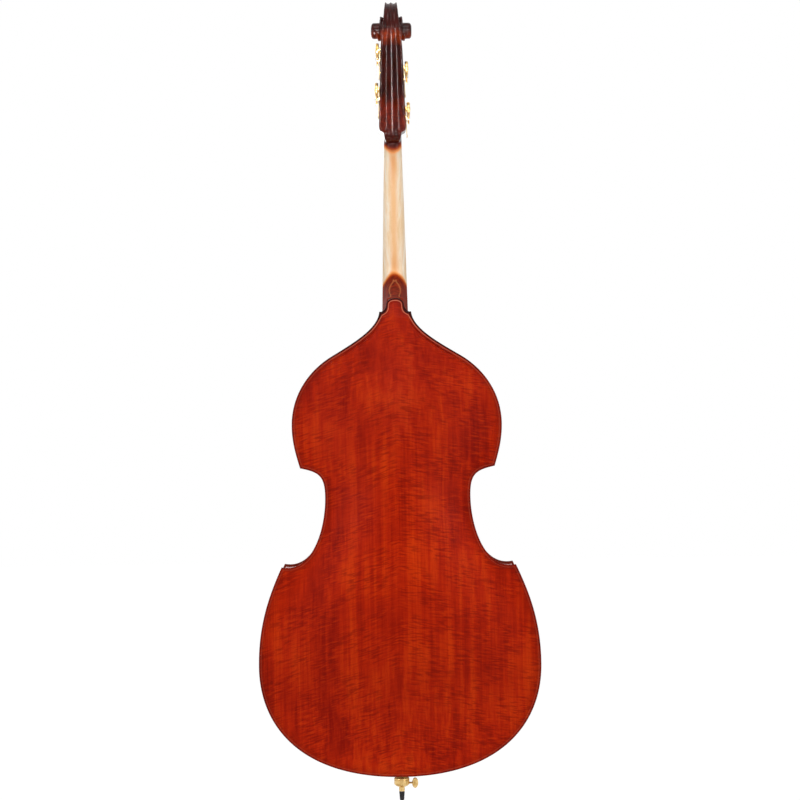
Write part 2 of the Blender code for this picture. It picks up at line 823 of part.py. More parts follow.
varnish = (0.42, 0.05, 0.008)
maple_back = material("maple_back_varnished", varnish, 0, 0.3)
maple_ribs = material("maple_ribs_varnished", (0.36, 0.045, 0.008), 0, 0.3)
spruce_top = material("spruce_top_varnished", (0.5, 0.12, 0.02), 0, 0.35)
maple_neck = material("maple_neck", (0.45, 0.1, 0.02), 0, 0.4)
spruce_raw = material("spruce_unfinished", (0.62, 0.45, 0.26), 0, 0.7)
maple_raw = material("maple_unfinished", (0.66, 0.46, 0.28), 0, 0.6)
ebony = material("ebony_oiled", (0.012, 0.01, 0.009), 0, 0.35)
brass = material("brass_polished", (0.75, 0.5, 0.18), 1, 0.25)
steel = material("steel_polished", (0.6, 0.6, 0.6), 1, 0.25)
rubber = material("rubber_black", (0.02, 0.02, 0.02), 0, 0.6)
steel_string = material("steel_wound_string", (0.35, 0.35, 0.36), 1, 0.35)

half, ends = half_outline()
loop = closed_outline(half)
button = [(27 * MM, 1105.8 * MM), (22.6 * MM, 1110 * MM), (BUTTON_HALF, 1118 * MM)]
button += [(BUTTON_HALF * 0.86, 1127.5 * MM), (BUTTON_HALF * 0.5, 1134.5 * MM), (0, BUTTON_TOP)]
back_loop = closed_outline(half, button)

heel_notch = box(
    (-neck_half(1090 * MM) - JOINT, -250 * MM, 1087 * MM - JOINT),
    (neck_half(1090 * MM) + JOINT, 150 * MM, 1120 * MM),
)
saddle_notch = box(
    (-30 * MM - JOINT, -150 * MM, -5 * MM), (30 * MM + JOINT, -99.9 * MM, 10 * MM + JOINT)
)

# plates
back = plate(back_loop, back_edge, 1, BACK_ARCH)
node("back_plate", back.copy(), maple_back)
top = plate(loop, front_edge, -1, TOP_ARCH)
top = cut(top, heel_notch.copy(), saddle_notch)
for side in (1, -1):
    top = cut(top, *f_hole(side))
node("top_plate", top.copy(), spruce_top)

# ribs: three a side, meeting in mitres at the corners
rib_out = inset(loop, OVERHANG)
rib_in = inset(loop, OVERHANG + RIB_THICK)
for name, a, b in (("lower", 0, 1), ("middle", 1, 2), ("upper", 2, 3)):
    outer_line = rib_out[ends[a] : ends[b] + 1]
    inner_line = rib_in[ends[a] : ends[b] + 1]
    if name == "lower":
        outer_line = pulled(pulled(outer_line, 0, JOINT / 2), -1, JOINT * 1.5)
        inner_line = pulled(pulled(inner_line, 0, JOINT / 2), -1, JOINT * 1.5)
    if name == "upper":
        outer_line = pulled(outer_line, 0, JOINT * 1.5)
        inner_line = pulled(inner_line, 0, JOINT * 1.5)
    hole = turned([(0, 20 * MM), (15.5 * MM, 20 * MM), (15.5 * MM, -20 * MM), (0, -20 * MM)], 16)
    for side, turn in (("left", lambda p: p), ("right", flip)):
        rib = wall(turn(outer_line), turn(inner_line), front_edge, back_edge)
        if name == "lower":
            rib = cut(rib, hole.copy())
        node(f"rib_{name}_{side}", rib, maple_ribs)

# linings: a strip along each edge of each rib, between the blocks
line_out = inset(loop, OVERHANG + RIB_THICK + JOINT)
line_in = inset(loop, OVERHANG + RIB_THICK + JOINT + LINING[0])
for name, a, b in (("lower", 2, -2), ("middle", 2, -2), ("upper", 2, -2)):
    first = ends[("lower", "middle", "upper").index(name)] + a
    last = ends[("lower", "middle", "upper").index(name) + 1] + b + 1
    for side, turn in (("left", lambda p: p), ("right", flip)):
        outer_line, inner_line = turn(line_out[first:last]), turn(line_in[first:last])
        for face in ("front", "back"):
            if face == "front":
                low, high = front_edge, lambda z: front_edge(z) + LINING[1]
            else:
                low, high = lambda z: back_edge(z) - LINING[1], back_edge
            lining = wall(outer_line, inner_line, low, high)
            node(f"lining_{name}_{face}_{side}", lining, spruce_raw)

# blocks
count = len(loop)
for name, corner in (("lower", ends[1]), ("upper", ends[2])):
    shape = line_out[corner - 2 : corner + 3]
    shape = pulled(pulled(shape, 0, 3 * MM), -1, 3 * MM)
    for side, turn in (("left", lambda p: p), ("right", flip)):
        made = block(turn(shape), front_edge, back_edge)
        node(f"corner_block_{name}_{side}", made, spruce_raw)
last = ends[3]
shape = line_out[last - 2 : count - last + 3]
shape = pulled(pulled(shape, 0, 2 * MM), -1, 2 * MM)
node("neck_block", cut(block(shape, front_edge, back_edge), heel_notch.copy()), spruce_raw)
shape = line_out[-1:] + line_out[:2]
shape = pulled(pulled(shape, 0, 2 * MM), -1, 2 * MM)
shape = [shape[0], shape[1], shape[2], (shape[2][0], 55 * MM), (shape[0][0], 55 * MM)]
end_block = block(shape, front_edge, back_edge)
end_bore = turned([(0, 80 * MM), (13.5 * MM, 80 * MM), (15 * MM, 0), (0, 0)], 16)
node("end_block", cut(end_block, end_bore), spruce_raw)


# bass bar and sound post, fitted between the hollowed plates
def top_at(x, z):
    return -(RIB_DEPTH / 2 + arch(x, z, TOP_ARCH) + 3 * MM)


bar_x = -60 * MM
levels = [180, 260, 340, 420, 500, 600, 700, 800, 880]
ridge = [(top_at(bar_x, z * MM), z * MM) for z in levels]
floor = [(ridge[k][0] + 5 * MM + d * MM, ridge[k][1]) for k, d in ((8, 8), (6, 22), (4, 32))]
floor += [(ridge[k][0] + 5 * MM + d * MM, ridge[k][1]) for k, d in ((3, 32), (1, 18), (0, 8))]
bar = slab(ridge + floor, bar_x - 10 * MM, bar_x + 10 * MM)
node("bass_bar", cut(bar, moved(top, y=JOINT), moved(top, y=-5 * MM)), spruce_raw)
post_x, post_z = 60 * MM, 462 * MM
post_ends = (top_at(post_x, post_z), RIB_DEPTH / 2 + arch(post_x, post_z, BACK_ARCH) + 3 * MM)
post = turned(
    [(0, post_ends[1]), (9 * MM, post_ends[1]), (9 * MM, post_ends[0]), (0, post_ends[0])],
    16,
    (post_x, 0, post_z),
    "Y",
)
post = cut(post, moved(top, y=JOINT), moved(back, y=-JOINT))
node("sound_post", post, spruce_raw)

# neck, heel, pegbox and scroll, carved from one piece
levels = [1087, 1112, 1137, 1142, 1150, 1158, 1168, 1180, 1198, 1229, 1330, 1440, 1520, 1539]
neck = loft([neck_section(z * MM) for z in levels])
eye = turned(
    [(0, 2 * EYE_HALF), (13 * MM, 2 * EYE_HALF), (EYE_RADIUS, 2 * EYE_HALF - 4 * MM)]
    + [(EYE_RADIUS, 4 * MM), (13 * MM, 0), (0, 0)],
    16,
    (-EYE_HALF, GLUE_Y + EYE[0], NUT_Z + EYE[1]),
    "X",
)
neck = join(neck, pegbox(), volute(), eye)
profile = [(-60, 10), (44, 10), (51, 18), (121, 188), (116, 198), (60, 198), (-30, 60)]
cavity = slab(
    [(GLUE_Y + y * MM, NUT_Z + z * MM) for y, z in profile], -1, 1
)
cavity = bent(
    cavity,
    lambda p: Vector((p.x * (cheek_half(p.z - NUT_Z) - CHEEK_THICK), p.y, p.z)),
)
neck = cut(neck, cavity)
for machine in MACHINES:
    side, y, z = lever(machine)
    bore = tube([(-60 * MM, y, z), (60 * MM, y, z)], JOURNAL_R + 0.4 * MM, 2)
    neck = cut(neck, bore)
node("neck_scroll", neck, maple_neck)


def board_section(z, low, thick):
    half_width = neck_half(z)
    ring = []
    for k in range(-4, 5):
        x = half_width * k / 4
        sag = BOARD_RADIUS - math.sqrt(BOARD_RADIUS**2 - x**2)
        ring.append((x, low - thick + sag, z))
    return [(-half_width, low, z)] + ring + [(half_width, low, z)]


board_rows = []
for z in (NUT_Z - JOINT, 1105 * MM, NUT_Z - BOARD_LENGTH):
    share = (NUT_Z - z) / BOARD_LENGTH
    thick = BOARD_THICK[0] + (BOARD_THICK[1] - BOARD_THICK[0]) * share
    board_rows.append(board_section(z, glue_face(z) - JOINT, thick))
node("fingerboard", loft(board_rows), ebony)


# bridge
def string_sag(x, wide):
    radius = 65 * MM + (86 - 65) * MM * wide
    return radius - math.sqrt(radius**2 - x**2)


crown = [(x * MM, 0) for x in (-56, -42, -28, -14, 0, 14, 28, 42, 56)]
crown = [
    (x, -(string_depth(BRIDGE_Z) + string_sag(x, 1) + 1.4 * MM + JOINT)) for x, _ in crown
]
side_line = [(60, 276), (57, 262), (46, 246), (42, 226), (50, 205), (64, 190), (70, 172)]
side_line += [(76, 150), (84, 139), (86, 124), (38, 129), (40, 146), (30, 158), (0, 165)]
right_side = [(x * MM, v * MM) for x, v in side_line]
left_side = [(-x, v) for x, v in reversed(right_side[:-1])]
ring = crown + right_side + left_side
heart = [(0, 205), (11, 214), (17, 226), (11, 236), (0, 230), (-11, 236), (-17, 226), (-11, 214)]
heart = [(x * MM, v * MM) for x, v in heart]
kidney = [(30, 208), (38, 198), (52, 186), (58, 176), (50, 172), (34, 180), (24, 194)]
kidney = [(x * MM, v * MM) for x, v in kidney]
holes = [heart, kidney, [(-x, v) for x, v in kidney]]
bridge = facing_y(ring, -BRIDGE_FOOT_THICK / 2, BRIDGE_FOOT_THICK / 2, holes)


def stand_bridge(p):
    """Turns the flat cut-out upright on the top, thinner towards the strings."""
    share = (p.z - 122 * MM) / (170 * MM)
    thin = 1 + (BRIDGE_TOP_THICK / BRIDGE_FOOT_THICK - 1) * max(0.0, min(1.0, share))
    return Vector((p.x, -p.z, BRIDGE_Z + p.y * thin))


bridge = tidy(bent(bridge, stand_bridge))
bridge = cut(bridge, moved(top, y=-JOINT))
node("bridge", bridge, maple_raw)

# nut and saddle
nut_top = STRING_NUT_Y + 1.4 * MM + JOINT


def nut_section(z):
    ring = []
    for k in range(-3, 4):
        x = neck_half(NUT_Z) * k / 3
        ring.append((x, nut_top + string_sag(x, 0), z))
    low = glue_face(z) - JOINT
    return [(-neck_half(NUT_Z), low, z)] + ring + [(neck_half(NUT_Z), low, z)]


node("nut", loft([nut_section(NUT_Z), nut_section(NUT_Z + NUT_LENGTH)]), ebony)
saddle = box((-30 * MM, -122 * MM, -1.5 * MM), (30 * MM, -100.3 * MM, 10 * MM))
node("saddle", saddle, ebony)


# tailpiece
def tail_face(z):
    share = (z - TAIL_FOOT[0]) / (TAIL_TOP[0] - TAIL_FOOT[0])
    return TAIL_FOOT[1] + (TAIL_TOP[1] - TAIL_FOOT[1]) * share


def tail_section(z, half_width, sag, thick):
    front = []
    for k in range(-2, 3):
        x = half_width * k / 2
        front.append((x, tail_face(z) + sag * (k / 2) ** 2, z))
    back = [(x * 0.94, y + thick, z) for x, y, z in reversed(front)]
    return front + back


rows = ((345, 49, 10, 8), (300, 46, 9, 9), (180, 35, 7, 9), (80, 29, 5, 10), (48, 27, 5, 11))
tail = loft([tail_section(z * MM, w * MM, s * MM, t * MM) for z, w, s, t in rows])
for name, wide, at_nut, at_bridge, at_tail in STRINGS:
    y = tail_face(322 * MM)
    bore = tube([(at_tail, y - 20 * MM, 322 * MM), (at_tail, y + 30 * MM, 322 * MM)], 3.2 * MM, 2)
    tail = cut(tail, bore)
gut_slope = (TAIL_TOP[1] - TAIL_FOOT[1]) / (TAIL_TOP[0] - TAIL_FOOT[0])
for x in (-9 * MM, 9 * MM):
    y = tail_face(48 * MM) + 5.5 * MM
    bore = tube(
        [(x, y - gut_slope * 20 * MM, 28 * MM), (x, y + gut_slope * 32 * MM, 80 * MM)], 2.4 * MM, 2
    )
    tail = cut(tail, bore)
node("tailpiece", tail, ebony)

# tail gut: from the tailpiece over the saddle and round the endpin collar
gut_r = 1.6 * MM
wrap = 15 * MM + gut_r + JOINT
gut_z = -8 * MM
one_side = [
    (9 * MM, tail_face(48 * MM) + 5.5 * MM + gut_slope * 25 * MM, 73 * MM),
    (9 * MM, tail_face(48 * MM) + 5.5 * MM, 48 * MM),
    (10 * MM, -122.3 * MM - gut_r, 10 * MM),
    (10 * MM, -122.3 * MM - gut_r, -2.6 * MM),
    (10 * MM, -121.8 * MM, -5.2 * MM),
    (11 * MM, -112 * MM, -5.6 * MM),
]
turn_points = []
for k in range(8):
    angle = math.radians(180 * k / 7)
    turn_points.append((wrap * math.cos(angle), wrap * math.sin(angle), gut_z))
other_side = [(-x, y, z) for x, y, z in reversed(one_side)]
node("tail_gut", tube(one_side + turn_points + other_side, gut_r, 1), steel)


# strings
def wound(machine, place, wide):
    """The string's path from the nut to its roller, and two turns round it."""
    side, y, z = lever(machine)
    radius = ROLLER_R + JOINT * 2.2 + wide / 2
    start = Vector((0, STRING_NUT_Y + string_sag(place, 0), NUT_Z + NUT_LENGTH))
    to_axis = Vector((0, y, z)) - start
    reach = math.hypot(to_axis.y, to_axis.z)
    aim = math.atan2(to_axis.z, to_axis.y) + math.asin(radius / reach)
    first = aim + math.pi / 2
    path = []
    steps = 15
    for k in range(steps + 1):
        angle = first - 2 * math.pi * k / 9
        x = place + math.copysign(1, place) * (wide + 0.5 * MM) * (-k / 9)
        path.append((x, y + radius * math.cos(angle), z + radius * math.sin(angle)))
    return path


for (name, wide, at_nut, at_bridge, at_tail) in STRINGS:
    machine = next(m for m in MACHINES if name.endswith(m[1]))
    flat = BRIDGE_TOP_THICK / 2 + 0.5 * MM
    nut_y = STRING_NUT_Y + string_sag(at_nut, 0)
    bridge_y = STRING_BRIDGE_Y + string_sag(at_bridge, 1)
    lift = 1.4 * MM - wide / 2
    tail_y = tail_face(345 * MM) + 10 * MM * (at_tail / (49 * MM)) ** 2 - 2.6 * MM
    hole_y = tail_face(322 * MM) + 10 * MM * (at_tail / (49 * MM)) ** 2
    path = [
        (at_tail, hole_y + 5 * MM, 322 * MM),
        (at_tail, hole_y - 2.2 * MM, 322.3 * MM),
        (at_tail, tail_y, 346 * MM),
        (at_bridge, bridge_y + lift, BRIDGE_Z - flat),
        (at_bridge, bridge_y + lift, BRIDGE_Z + flat),
        (at_nut, nut_y + lift, NUT_Z - 0.5 * MM),
        (at_nut, nut_y + lift, NUT_Z + NUT_LENGTH + 0.5 * MM),
    ]
    path += wound(machine, at_nut, wide)
    node(name, tube(path, wide / 2, 1), steel_string)

# machines
for machine in MACHINES:
    side, y, z = lever(machine)
    letter = machine[1]
    worm = GEAR_PITCH_R + WORM_PITCH_R
    x = side * (cheek_half(machine[2]) + GEAR_OUT)
    shaft = (x, y + worm * math.sin(MACHINE_LEAN), z + worm * math.cos(MACHINE_LEAN))
    node(f"machine_plate_{letter}", machine_plate(machine), brass)
    node(f"worm_wheel_{letter}", worm_wheel(machine), brass, (x, y, z))
    node(f"string_roller_{letter}", string_roller(machine), steel, (x, y, z))
    node(f"worm_key_{letter}", worm_key(machine), brass, shaft)

# endpin: collar in the end block, sliding rod, rubber tip and thumbscrew
screw_z = -25.7 * MM
collar = turned(
    [
        (13 * MM, 52 * MM),
        (14.4 * MM, 5.5 * MM),
        (18.5 * MM, 5.5 * MM),
        (19 * MM, -3.5 * MM),
        (15 * MM, -5.5 * MM),
        (15 * MM, -11 * MM),
        (18.5 * MM, -14 * MM),
        (18.5 * MM, -28 * MM),
        (13 * MM, -33 * MM),
        (6.8 * MM, -35.5 * MM),
        (6.8 * MM, COLLAR_FOOT),
        (PIN_R + 0.25 * MM, COLLAR_FOOT),
        (PIN_R + 0.25 * MM, 52 * MM),
        (13 * MM, 52 * MM),
    ],
    14,
)
collar = cut(collar, tube([(-30 * MM, 0, screw_z), (0, 0, screw_z)], 2.6 * MM, 3))
node("endpin_collar", collar, brass)
rod_profile = [(0, PIN_TOP), (PIN_R - 0.8 * MM, PIN_TOP), (PIN_R, PIN_TOP - 1 * MM)]
rod_profile += [(PIN_R, -60 * MM), (0, -60 * MM)]
node("endpin_rod", turned(rod_profile, 16), steel, (0, 0, -68 * MM))
tip_profile = [
    (PIN_R + 0.3 * MM, -46.2 * MM),
    (6.5 * MM, -46.2 * MM),
    (6.7 * MM, -48 * MM),
    (5.5 * MM, -63 * MM),
    (4.6 * MM, -66.8 * MM),
    (3.8 * MM, -68 * MM),
    (0, -68 * MM),
    (0, -60.3 * MM),
    (PIN_R + 0.3 * MM, -60.3 * MM),
    (PIN_R + 0.3 * MM, -46.2 * MM),
]
node("endpin_tip", turned(tip_profile, 16), rubber, (0, 0, -68 * MM))
stem = turned(
    [(0, -5.6 * MM), (2.3 * MM, -5.6 * MM), (2.3 * MM, -27 * MM), (0, -27 * MM)],
    12,
    (0, 0, screw_z),
    "X",
)
oval = [
    (-32 * MM + 7.4 * MM * math.cos(a), 12.6 * MM * math.sin(a))
    for a in np.linspace(0, 2 * math.pi, 19)[:-1]
]
wing = facing_y(oval, -2 * MM, 2 * MM)
wing = moved(wing, z=screw_z)
node("endpin_thumbscrew", join(stem, wing), brass, (-32 * MM, 0, screw_z))
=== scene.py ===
# %% [markdown]
# # A double bass, seen from behind
# The instrument was already designed as a set of plain closed solids, one for each wooden or
# metal piece. Here it gets its fine shape and its finish: smooth arched plates, a carved
# scroll, cut gears, red varnish over flamed maple, and a pale, unvarnished neck.
# The plain model is loaded first and stays fixed. Every new piece takes the place of one of
# its pieces, in the same frame: metres, Z up, strings towards -Y, arched back towards +Y.

import math

import bpy
import numpy as np
from mathutils import Matrix, Vector


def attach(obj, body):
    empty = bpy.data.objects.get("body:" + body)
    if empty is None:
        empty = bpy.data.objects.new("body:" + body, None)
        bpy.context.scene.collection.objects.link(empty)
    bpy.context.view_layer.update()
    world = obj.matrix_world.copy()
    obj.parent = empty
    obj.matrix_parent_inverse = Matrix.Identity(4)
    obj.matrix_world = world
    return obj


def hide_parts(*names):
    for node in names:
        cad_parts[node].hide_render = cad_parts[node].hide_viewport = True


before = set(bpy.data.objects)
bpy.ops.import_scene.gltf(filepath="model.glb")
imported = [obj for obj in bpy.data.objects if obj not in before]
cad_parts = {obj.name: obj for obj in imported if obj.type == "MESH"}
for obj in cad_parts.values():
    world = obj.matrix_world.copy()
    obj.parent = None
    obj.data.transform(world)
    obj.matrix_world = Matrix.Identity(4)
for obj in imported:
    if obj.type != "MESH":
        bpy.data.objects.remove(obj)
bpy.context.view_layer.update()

# %% [markdown]
# ## Small habits
# Blender's operators act on whatever is selected, so each step starts by selecting one object
# only. Sizes are written in millimetres, with heights measured from the bottom edge of the
# body, the way a maker measures a bass. One helper turns them into metres over the floor.

# %% Selecting, applying and shading
MM = 0.001
BODY_UP = 68.0  # the bottom edge of the body is this high over the floor


def alone(obj):
    """Leaves one object selected and active, in object mode."""
    if bpy.context.mode != "OBJECT":
        bpy.ops.object.mode_set(mode="OBJECT")
    bpy.ops.object.select_all(action="DESELECT")
    obj.select_set(True)
    bpy.context.view_layer.objects.active = obj
    return obj


def nothing():
    """Deselects everything, ready for a new primitive."""
    if bpy.context.mode != "OBJECT":
        bpy.ops.object.mode_set(mode="OBJECT")
    bpy.ops.object.select_all(action="DESELECT")


def apply_all(obj):
    """Applies every modifier of an object, in order."""
    alone(obj)
    for step in list(obj.modifiers):
        bpy.ops.object.modifier_apply(modifier=step.name)
    return obj


def shade(obj, angle=35):
    """Shades smooth, but keeps edges sharper than the angle crisp."""
    alone(obj)
    bpy.ops.object.shade_smooth_by_angle(angle=math.radians(angle))
    return obj


def tidy(obj, gap=0.01):
    """Merges points that fell together and turns all faces outwards."""
    alone(obj)
    bpy.ops.object.mode_set(mode="EDIT")
    bpy.ops.mesh.select_mode(type="VERT")
    bpy.ops.mesh.select_all(action="SELECT")
    bpy.ops.mesh.remove_doubles(threshold=gap * MM)
    bpy.ops.mesh.dissolve_degenerate(threshold=gap * MM)
    bpy.ops.mesh.delete_loose()
    bpy.ops.mesh.normals_make_consistent(inside=False)
    bpy.ops.object.mode_set(mode="OBJECT")
    return obj


# %% [markdown]
# ## Skinning a row of sections
# Most wooden pieces here are lofts: a neck, an arched plate or a tailpiece is a row of closed
# sections with skin between them. By hand that is a circle, extruded once for each section
# and then pushed to its place, so that is what this helper does. Because the circle starts
# regular, each corner still knows by its angle and its level where it belongs.


# %% Loft by repeated extrusion
def skinned(name, sections, capped=True, fields=None):
    """Extrudes a ring once per section, and moves every ring onto its section (mm)."""
    sections = np.asarray(sections, float)
    levels, count = sections.shape[:2]
    nothing()
    fill = "NGON" if capped else "NOTHING"
    bpy.ops.mesh.primitive_circle_add(vertices=count, radius=1, fill_type=fill)
    obj = bpy.context.object
    obj.name = obj.data.name = name
    bpy.ops.object.mode_set(mode="EDIT")
    bpy.ops.mesh.select_all(action="SELECT")
    for _ in range(levels - 1):
        bpy.ops.mesh.extrude_region_move(TRANSFORM_OT_translate={"value": (0, 0, 1)})
    bpy.ops.object.mode_set(mode="OBJECT")
    place = np.empty(len(obj.data.vertices) * 3)
    obj.data.vertices.foreach_get("co", place)
    place = place.reshape(-1, 3)
    turn = np.arctan2(place[:, 1], place[:, 0])
    corner = np.rint((turn - turn[0]) / (2 * np.pi) * count).astype(int) % count
    level = np.rint(place[:, 2]).astype(int)
    for field, values in (fields or {}).items():
        held = obj.data.attributes.new(field, "FLOAT", "POINT")
        held.data.foreach_set("value", np.asarray(values, np.float32)[level, corner])
    place = (sections[level, corner] + (0, 0, BODY_UP)) * MM
    obj.data.vertices.foreach_set("co", place.astype(np.float32).ravel())
    obj.data.update()
    return tidy(obj)


def circle(sides):
    """Cosines and sines of a whole turn, in equal steps."""
    turn = np.linspace(0, 2 * np.pi, sides + 1)[:-1]
    return np.cos(turn), np.sin(turn)


def lathe(name, profile, sides, centre=(0, 0, 0), axis="Z", capped=True):
    """A turned piece: (radius, height) pairs, turned about an axis through centre (mm)."""
    sections = []
    for radius, height in profile:
        a, b = (radius * v for v in circle(sides))
        h = np.full(sides, float(height))
        ring = {"Z": (a, b, h), "X": (h, a, b), "Y": (b, h, a)}[axis]
        sections.append(np.stack(ring, axis=1) + centre)
    return skinned(name, sections, capped)


def drill(radius, low, high, sides, centre=(0, 0, 0), axis="Z"):
    """A round cutter, from low to high along an axis through centre (mm)."""
    profile = [(0, low), (radius, low), (radius, high), (0, high)]
    return lathe("drill", profile, sides, centre, axis)


def stacked(name, layers, axis="Y"):
    """Skin over outlines of two coordinates, each at its own level along an axis (mm)."""
    rows = []
    for level, outline in layers:
        a, b = np.asarray(outline, float).T
        h = np.full(len(a), float(level))
        rows.append(np.stack({"X": (h, a, b), "Y": (a, h, b), "Z": (a, b, h)}[axis], axis=1))
    return skinned(name, rows)


def sawn(name, outline, low, high, axis="Y"):
    """A board sawn to an outline, from low to high along an axis."""
    return stacked(name, ((low, outline), (high, outline)), axis)


def oblong(a, b, a_end, b_end):
    """The outline of an oblong, from one corner to the opposite one."""
    return [(a, b), (a_end, b), (a_end, b_end), (a, b_end)]


def carve(obj, *tools, operation="DIFFERENCE"):
    """Cuts obj with other solids, or joins them to it, and removes them."""
    for tool in tools:
        alone(obj)
        bpy.ops.object.modifier_add(type="BOOLEAN")
        step = obj.modifiers[-1]
        step.operation, step.solver, step.object = operation, "EXACT", tool
        bpy.ops.object.modifier_apply(modifier=step.name)
        bpy.data.objects.remove(tool, do_unlink=True)
    return obj


def joined(name, *parts):
    """Several shells in one piece."""
    nothing()
    for part in parts:
        part.select_set(True)
    bpy.context.view_layer.objects.active = parts[0]
    bpy.ops.object.join()
    obj = bpy.context.object
    obj.name = obj.data.name = name
    return obj


def soften(obj, width, segments=2, angle=35):
    """Rounds the crisp edges of a piece by a small width (mm)."""
    alone(obj)
    bpy.ops.object.modifier_add(type="BEVEL")
    step = obj.modifiers[-1]
    step.width, step.segments = width * MM, segments
    step.limit_method, step.angle_limit = "ANGLE", math.radians(angle)
    step.use_clamp_overlap = True
    return apply_all(obj)


def twin(obj, name, matrix):
    """A copy with its own mesh, moved by a matrix; a mirrored copy is turned outwards."""
    copy = obj.copy()
    copy.data = obj.data.copy()
    copy.name = copy.data.name = name
    bpy.context.scene.collection.objects.link(copy)
    copy.data.transform(matrix)
    if matrix.determinant() < 0:
        copy.data.flip_normals()
    return copy


def seat(obj, body, node, slot, look):
    """Puts a finished piece in place of a plain node, on the body that it moves with."""
    obj.name = obj.data.name = node + "_fine"
    obj.data.materials.clear()
    obj.data.materials.append(look)
    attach(obj, body)
    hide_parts(node)
    return obj


print("helpers ready")

# %% [markdown]
# ## Camera
# The camera looks at the back from seven metres, with a long lens, so that the outline is
# nearly undistorted. It is turned and tipped by less than a degree, as one stands in a studio.
# A wide lens from nearby would swell the lower bout and shrink the scroll.

# %% Camera
BACK_Y = 0.1  # about how far the arched back stands behind the origin (metres)


def stand_camera(distance, height, pitch, roll, yaw, lens):
    """A camera behind the bass, looking towards -Y, with small angles in degrees."""
    pitch, roll, yaw = (math.radians(v) for v in (pitch, roll, yaw))
    nothing()
    bpy.ops.object.camera_add(location=(0, BACK_Y + distance, height))
    camera = bpy.context.object
    camera.name = "camera"
    ahead = Vector((-math.tan(yaw), -math.cos(pitch), math.sin(pitch))).normalized()
    flat = ahead.cross(Vector((0, 0, 1))).normalized()
    above = flat.cross(ahead)
    right = flat * math.cos(roll) - above * math.sin(roll)
    up = above * math.cos(roll) + flat * math.sin(roll)
    turn = Matrix((right, up, -ahead)).transposed()
    camera.matrix_world = Matrix.Translation(camera.location) @ turn.to_4x4()
    camera.data.lens, camera.data.sensor_width = lens, 36
    camera.data.clip_start, camera.data.clip_end = 0.1, 60
    camera.data.dof.use_dof = False
    bpy.context.scene.camera = camera
    return camera


bpy.context.scene.view_settings.view_transform = "Standard"
camera = stand_camera(distance=7.0, height=0.87, pitch=0.75, roll=0.82, yaw=0.070, lens=132.64)
print("camera", [round(v, 3) for v in camera.location])

# %% [markdown]
# ## A helper for materials
# Every finish below is a small network of shader nodes. Drawing such a network takes the same
# three moves over and over: add a node, set it, and link it. One function does all three.
# Colours are written as the eye sees them on screen, and turned into light values once.

# %% Nodes and colours
# plain words for the nodes that need settings; any other node goes by Blender's own name
NODES = {
    "sum": ("Math", {}),
    "difference": ("Math", {"operation": "SUBTRACT"}),
    "product": ("Math", {"operation": "MULTIPLY"}),
    "quotient": ("Math", {"operation": "DIVIDE"}),
    "larger": ("Math", {"operation": "MAXIMUM"}),
    "smaller": ("Math", {"operation": "MINIMUM"}),
    "size": ("Math", {"operation": "ABSOLUTE"}),  # a value without its sign
    "eased": ("MapRange", {"interpolation_type": "SMOOTHSTEP"}),  # one range turned to another
    "over": ("Mix", {"data_type": "RGBA"}),  # one colour laid over another
    "glazed": ("Mix", {"data_type": "RGBA", "blend_type": "MULTIPLY"}),  # a see-through one
}


def colour(text):
    """A screen colour such as b02404, as linear light values."""
    parts = [int(text[k : k + 2], 16) / 255 for k in (0, 2, 4)]
    linear = [c / 12.92 if c <= 0.04045 else ((c + 0.055) / 1.055) ** 2.4 for c in parts]
    return (*linear, 1)


def put(tree, kind, *values, **named):
    """Adds a shader node, or takes one that is there, sets it and links it.

    Values fill the inputs that the node shows, in order. A name with a capital is an input
    as well, stops are a ramp's positions and colours, and other names are settings."""
    node = kind
    if isinstance(kind, str):
        kind, settings = NODES.get(kind, (kind, {}))
        node = tree.nodes.new("ShaderNode" + kind)
        named = {**settings, **named}
    for k, (position, text) in enumerate(named.pop("stops", ())):
        bands = node.color_ramp.elements
        band = bands[k] if k < 2 else bands.new(position)
        band.position, band.color = position, colour(text)
    for name in [n for n in named if n[0].islower()]:
        setattr(node, name, named.pop(name))
    given = [*zip((s for s in node.inputs if s.enabled), values)]
    given += [(node.inputs[name.replace("_", " ")], value) for name, value in named.items()]
    for socket, value in given:
        if isinstance(value, bpy.types.Node):
            value = next(s for s in value.outputs if s.enabled)
        if isinstance(value, bpy.types.NodeSocket):
            tree.links.new(value, socket)
        else:
            socket.default_value = colour(value) if isinstance(value, str) else value
    return node


def finish(name, base, roughness=0.4, metallic=0.0, **sockets):
    """A new material: itself, its tree, its shader, and its coordinates in metres."""
    made = bpy.data.materials.new(name)
    made.use_nodes = True
    made.diffuse_color = colour(base)
    tree, shader = made.node_tree, made.node_tree.nodes["Principled BSDF"]
    put(tree, shader, Base_Color=base, Roughness=roughness, Metallic=metallic, **sockets)
    return made, tree, shader, put(tree, "TexCoord").outputs["Object"]


print("material helpers ready")

# %% [markdown]
# ## Floor and light
# A plain white floor and a plain white world behind the instrument. The camera has to see them
# as pure white, but more light would bleach the varnish. So a share of what the camera sees
# of them is light that they give off by themselves, which only camera, mirror and glass rays
# see, and the rest is ordinary lit white, which still takes the instrument's shadow.

# %% Floor and world
FLOOR_Z = -0.26  # so low that the endpin, pulled all the way out, still stands on it
SHADELESS = 0.94  # share of the floor's white that is light of its own
WHITE = (1, 1, 1, 1)


def seen_white(tree):
    """1 for rays from the camera or mirrored or bent towards it, 0 for rays that light."""
    path = put(tree, "LightPath").outputs
    seen = put(tree, "larger", path["Is Camera Ray"], path["Is Glossy Ray"])
    return put(tree, "larger", seen, path["Is Transmission Ray"])


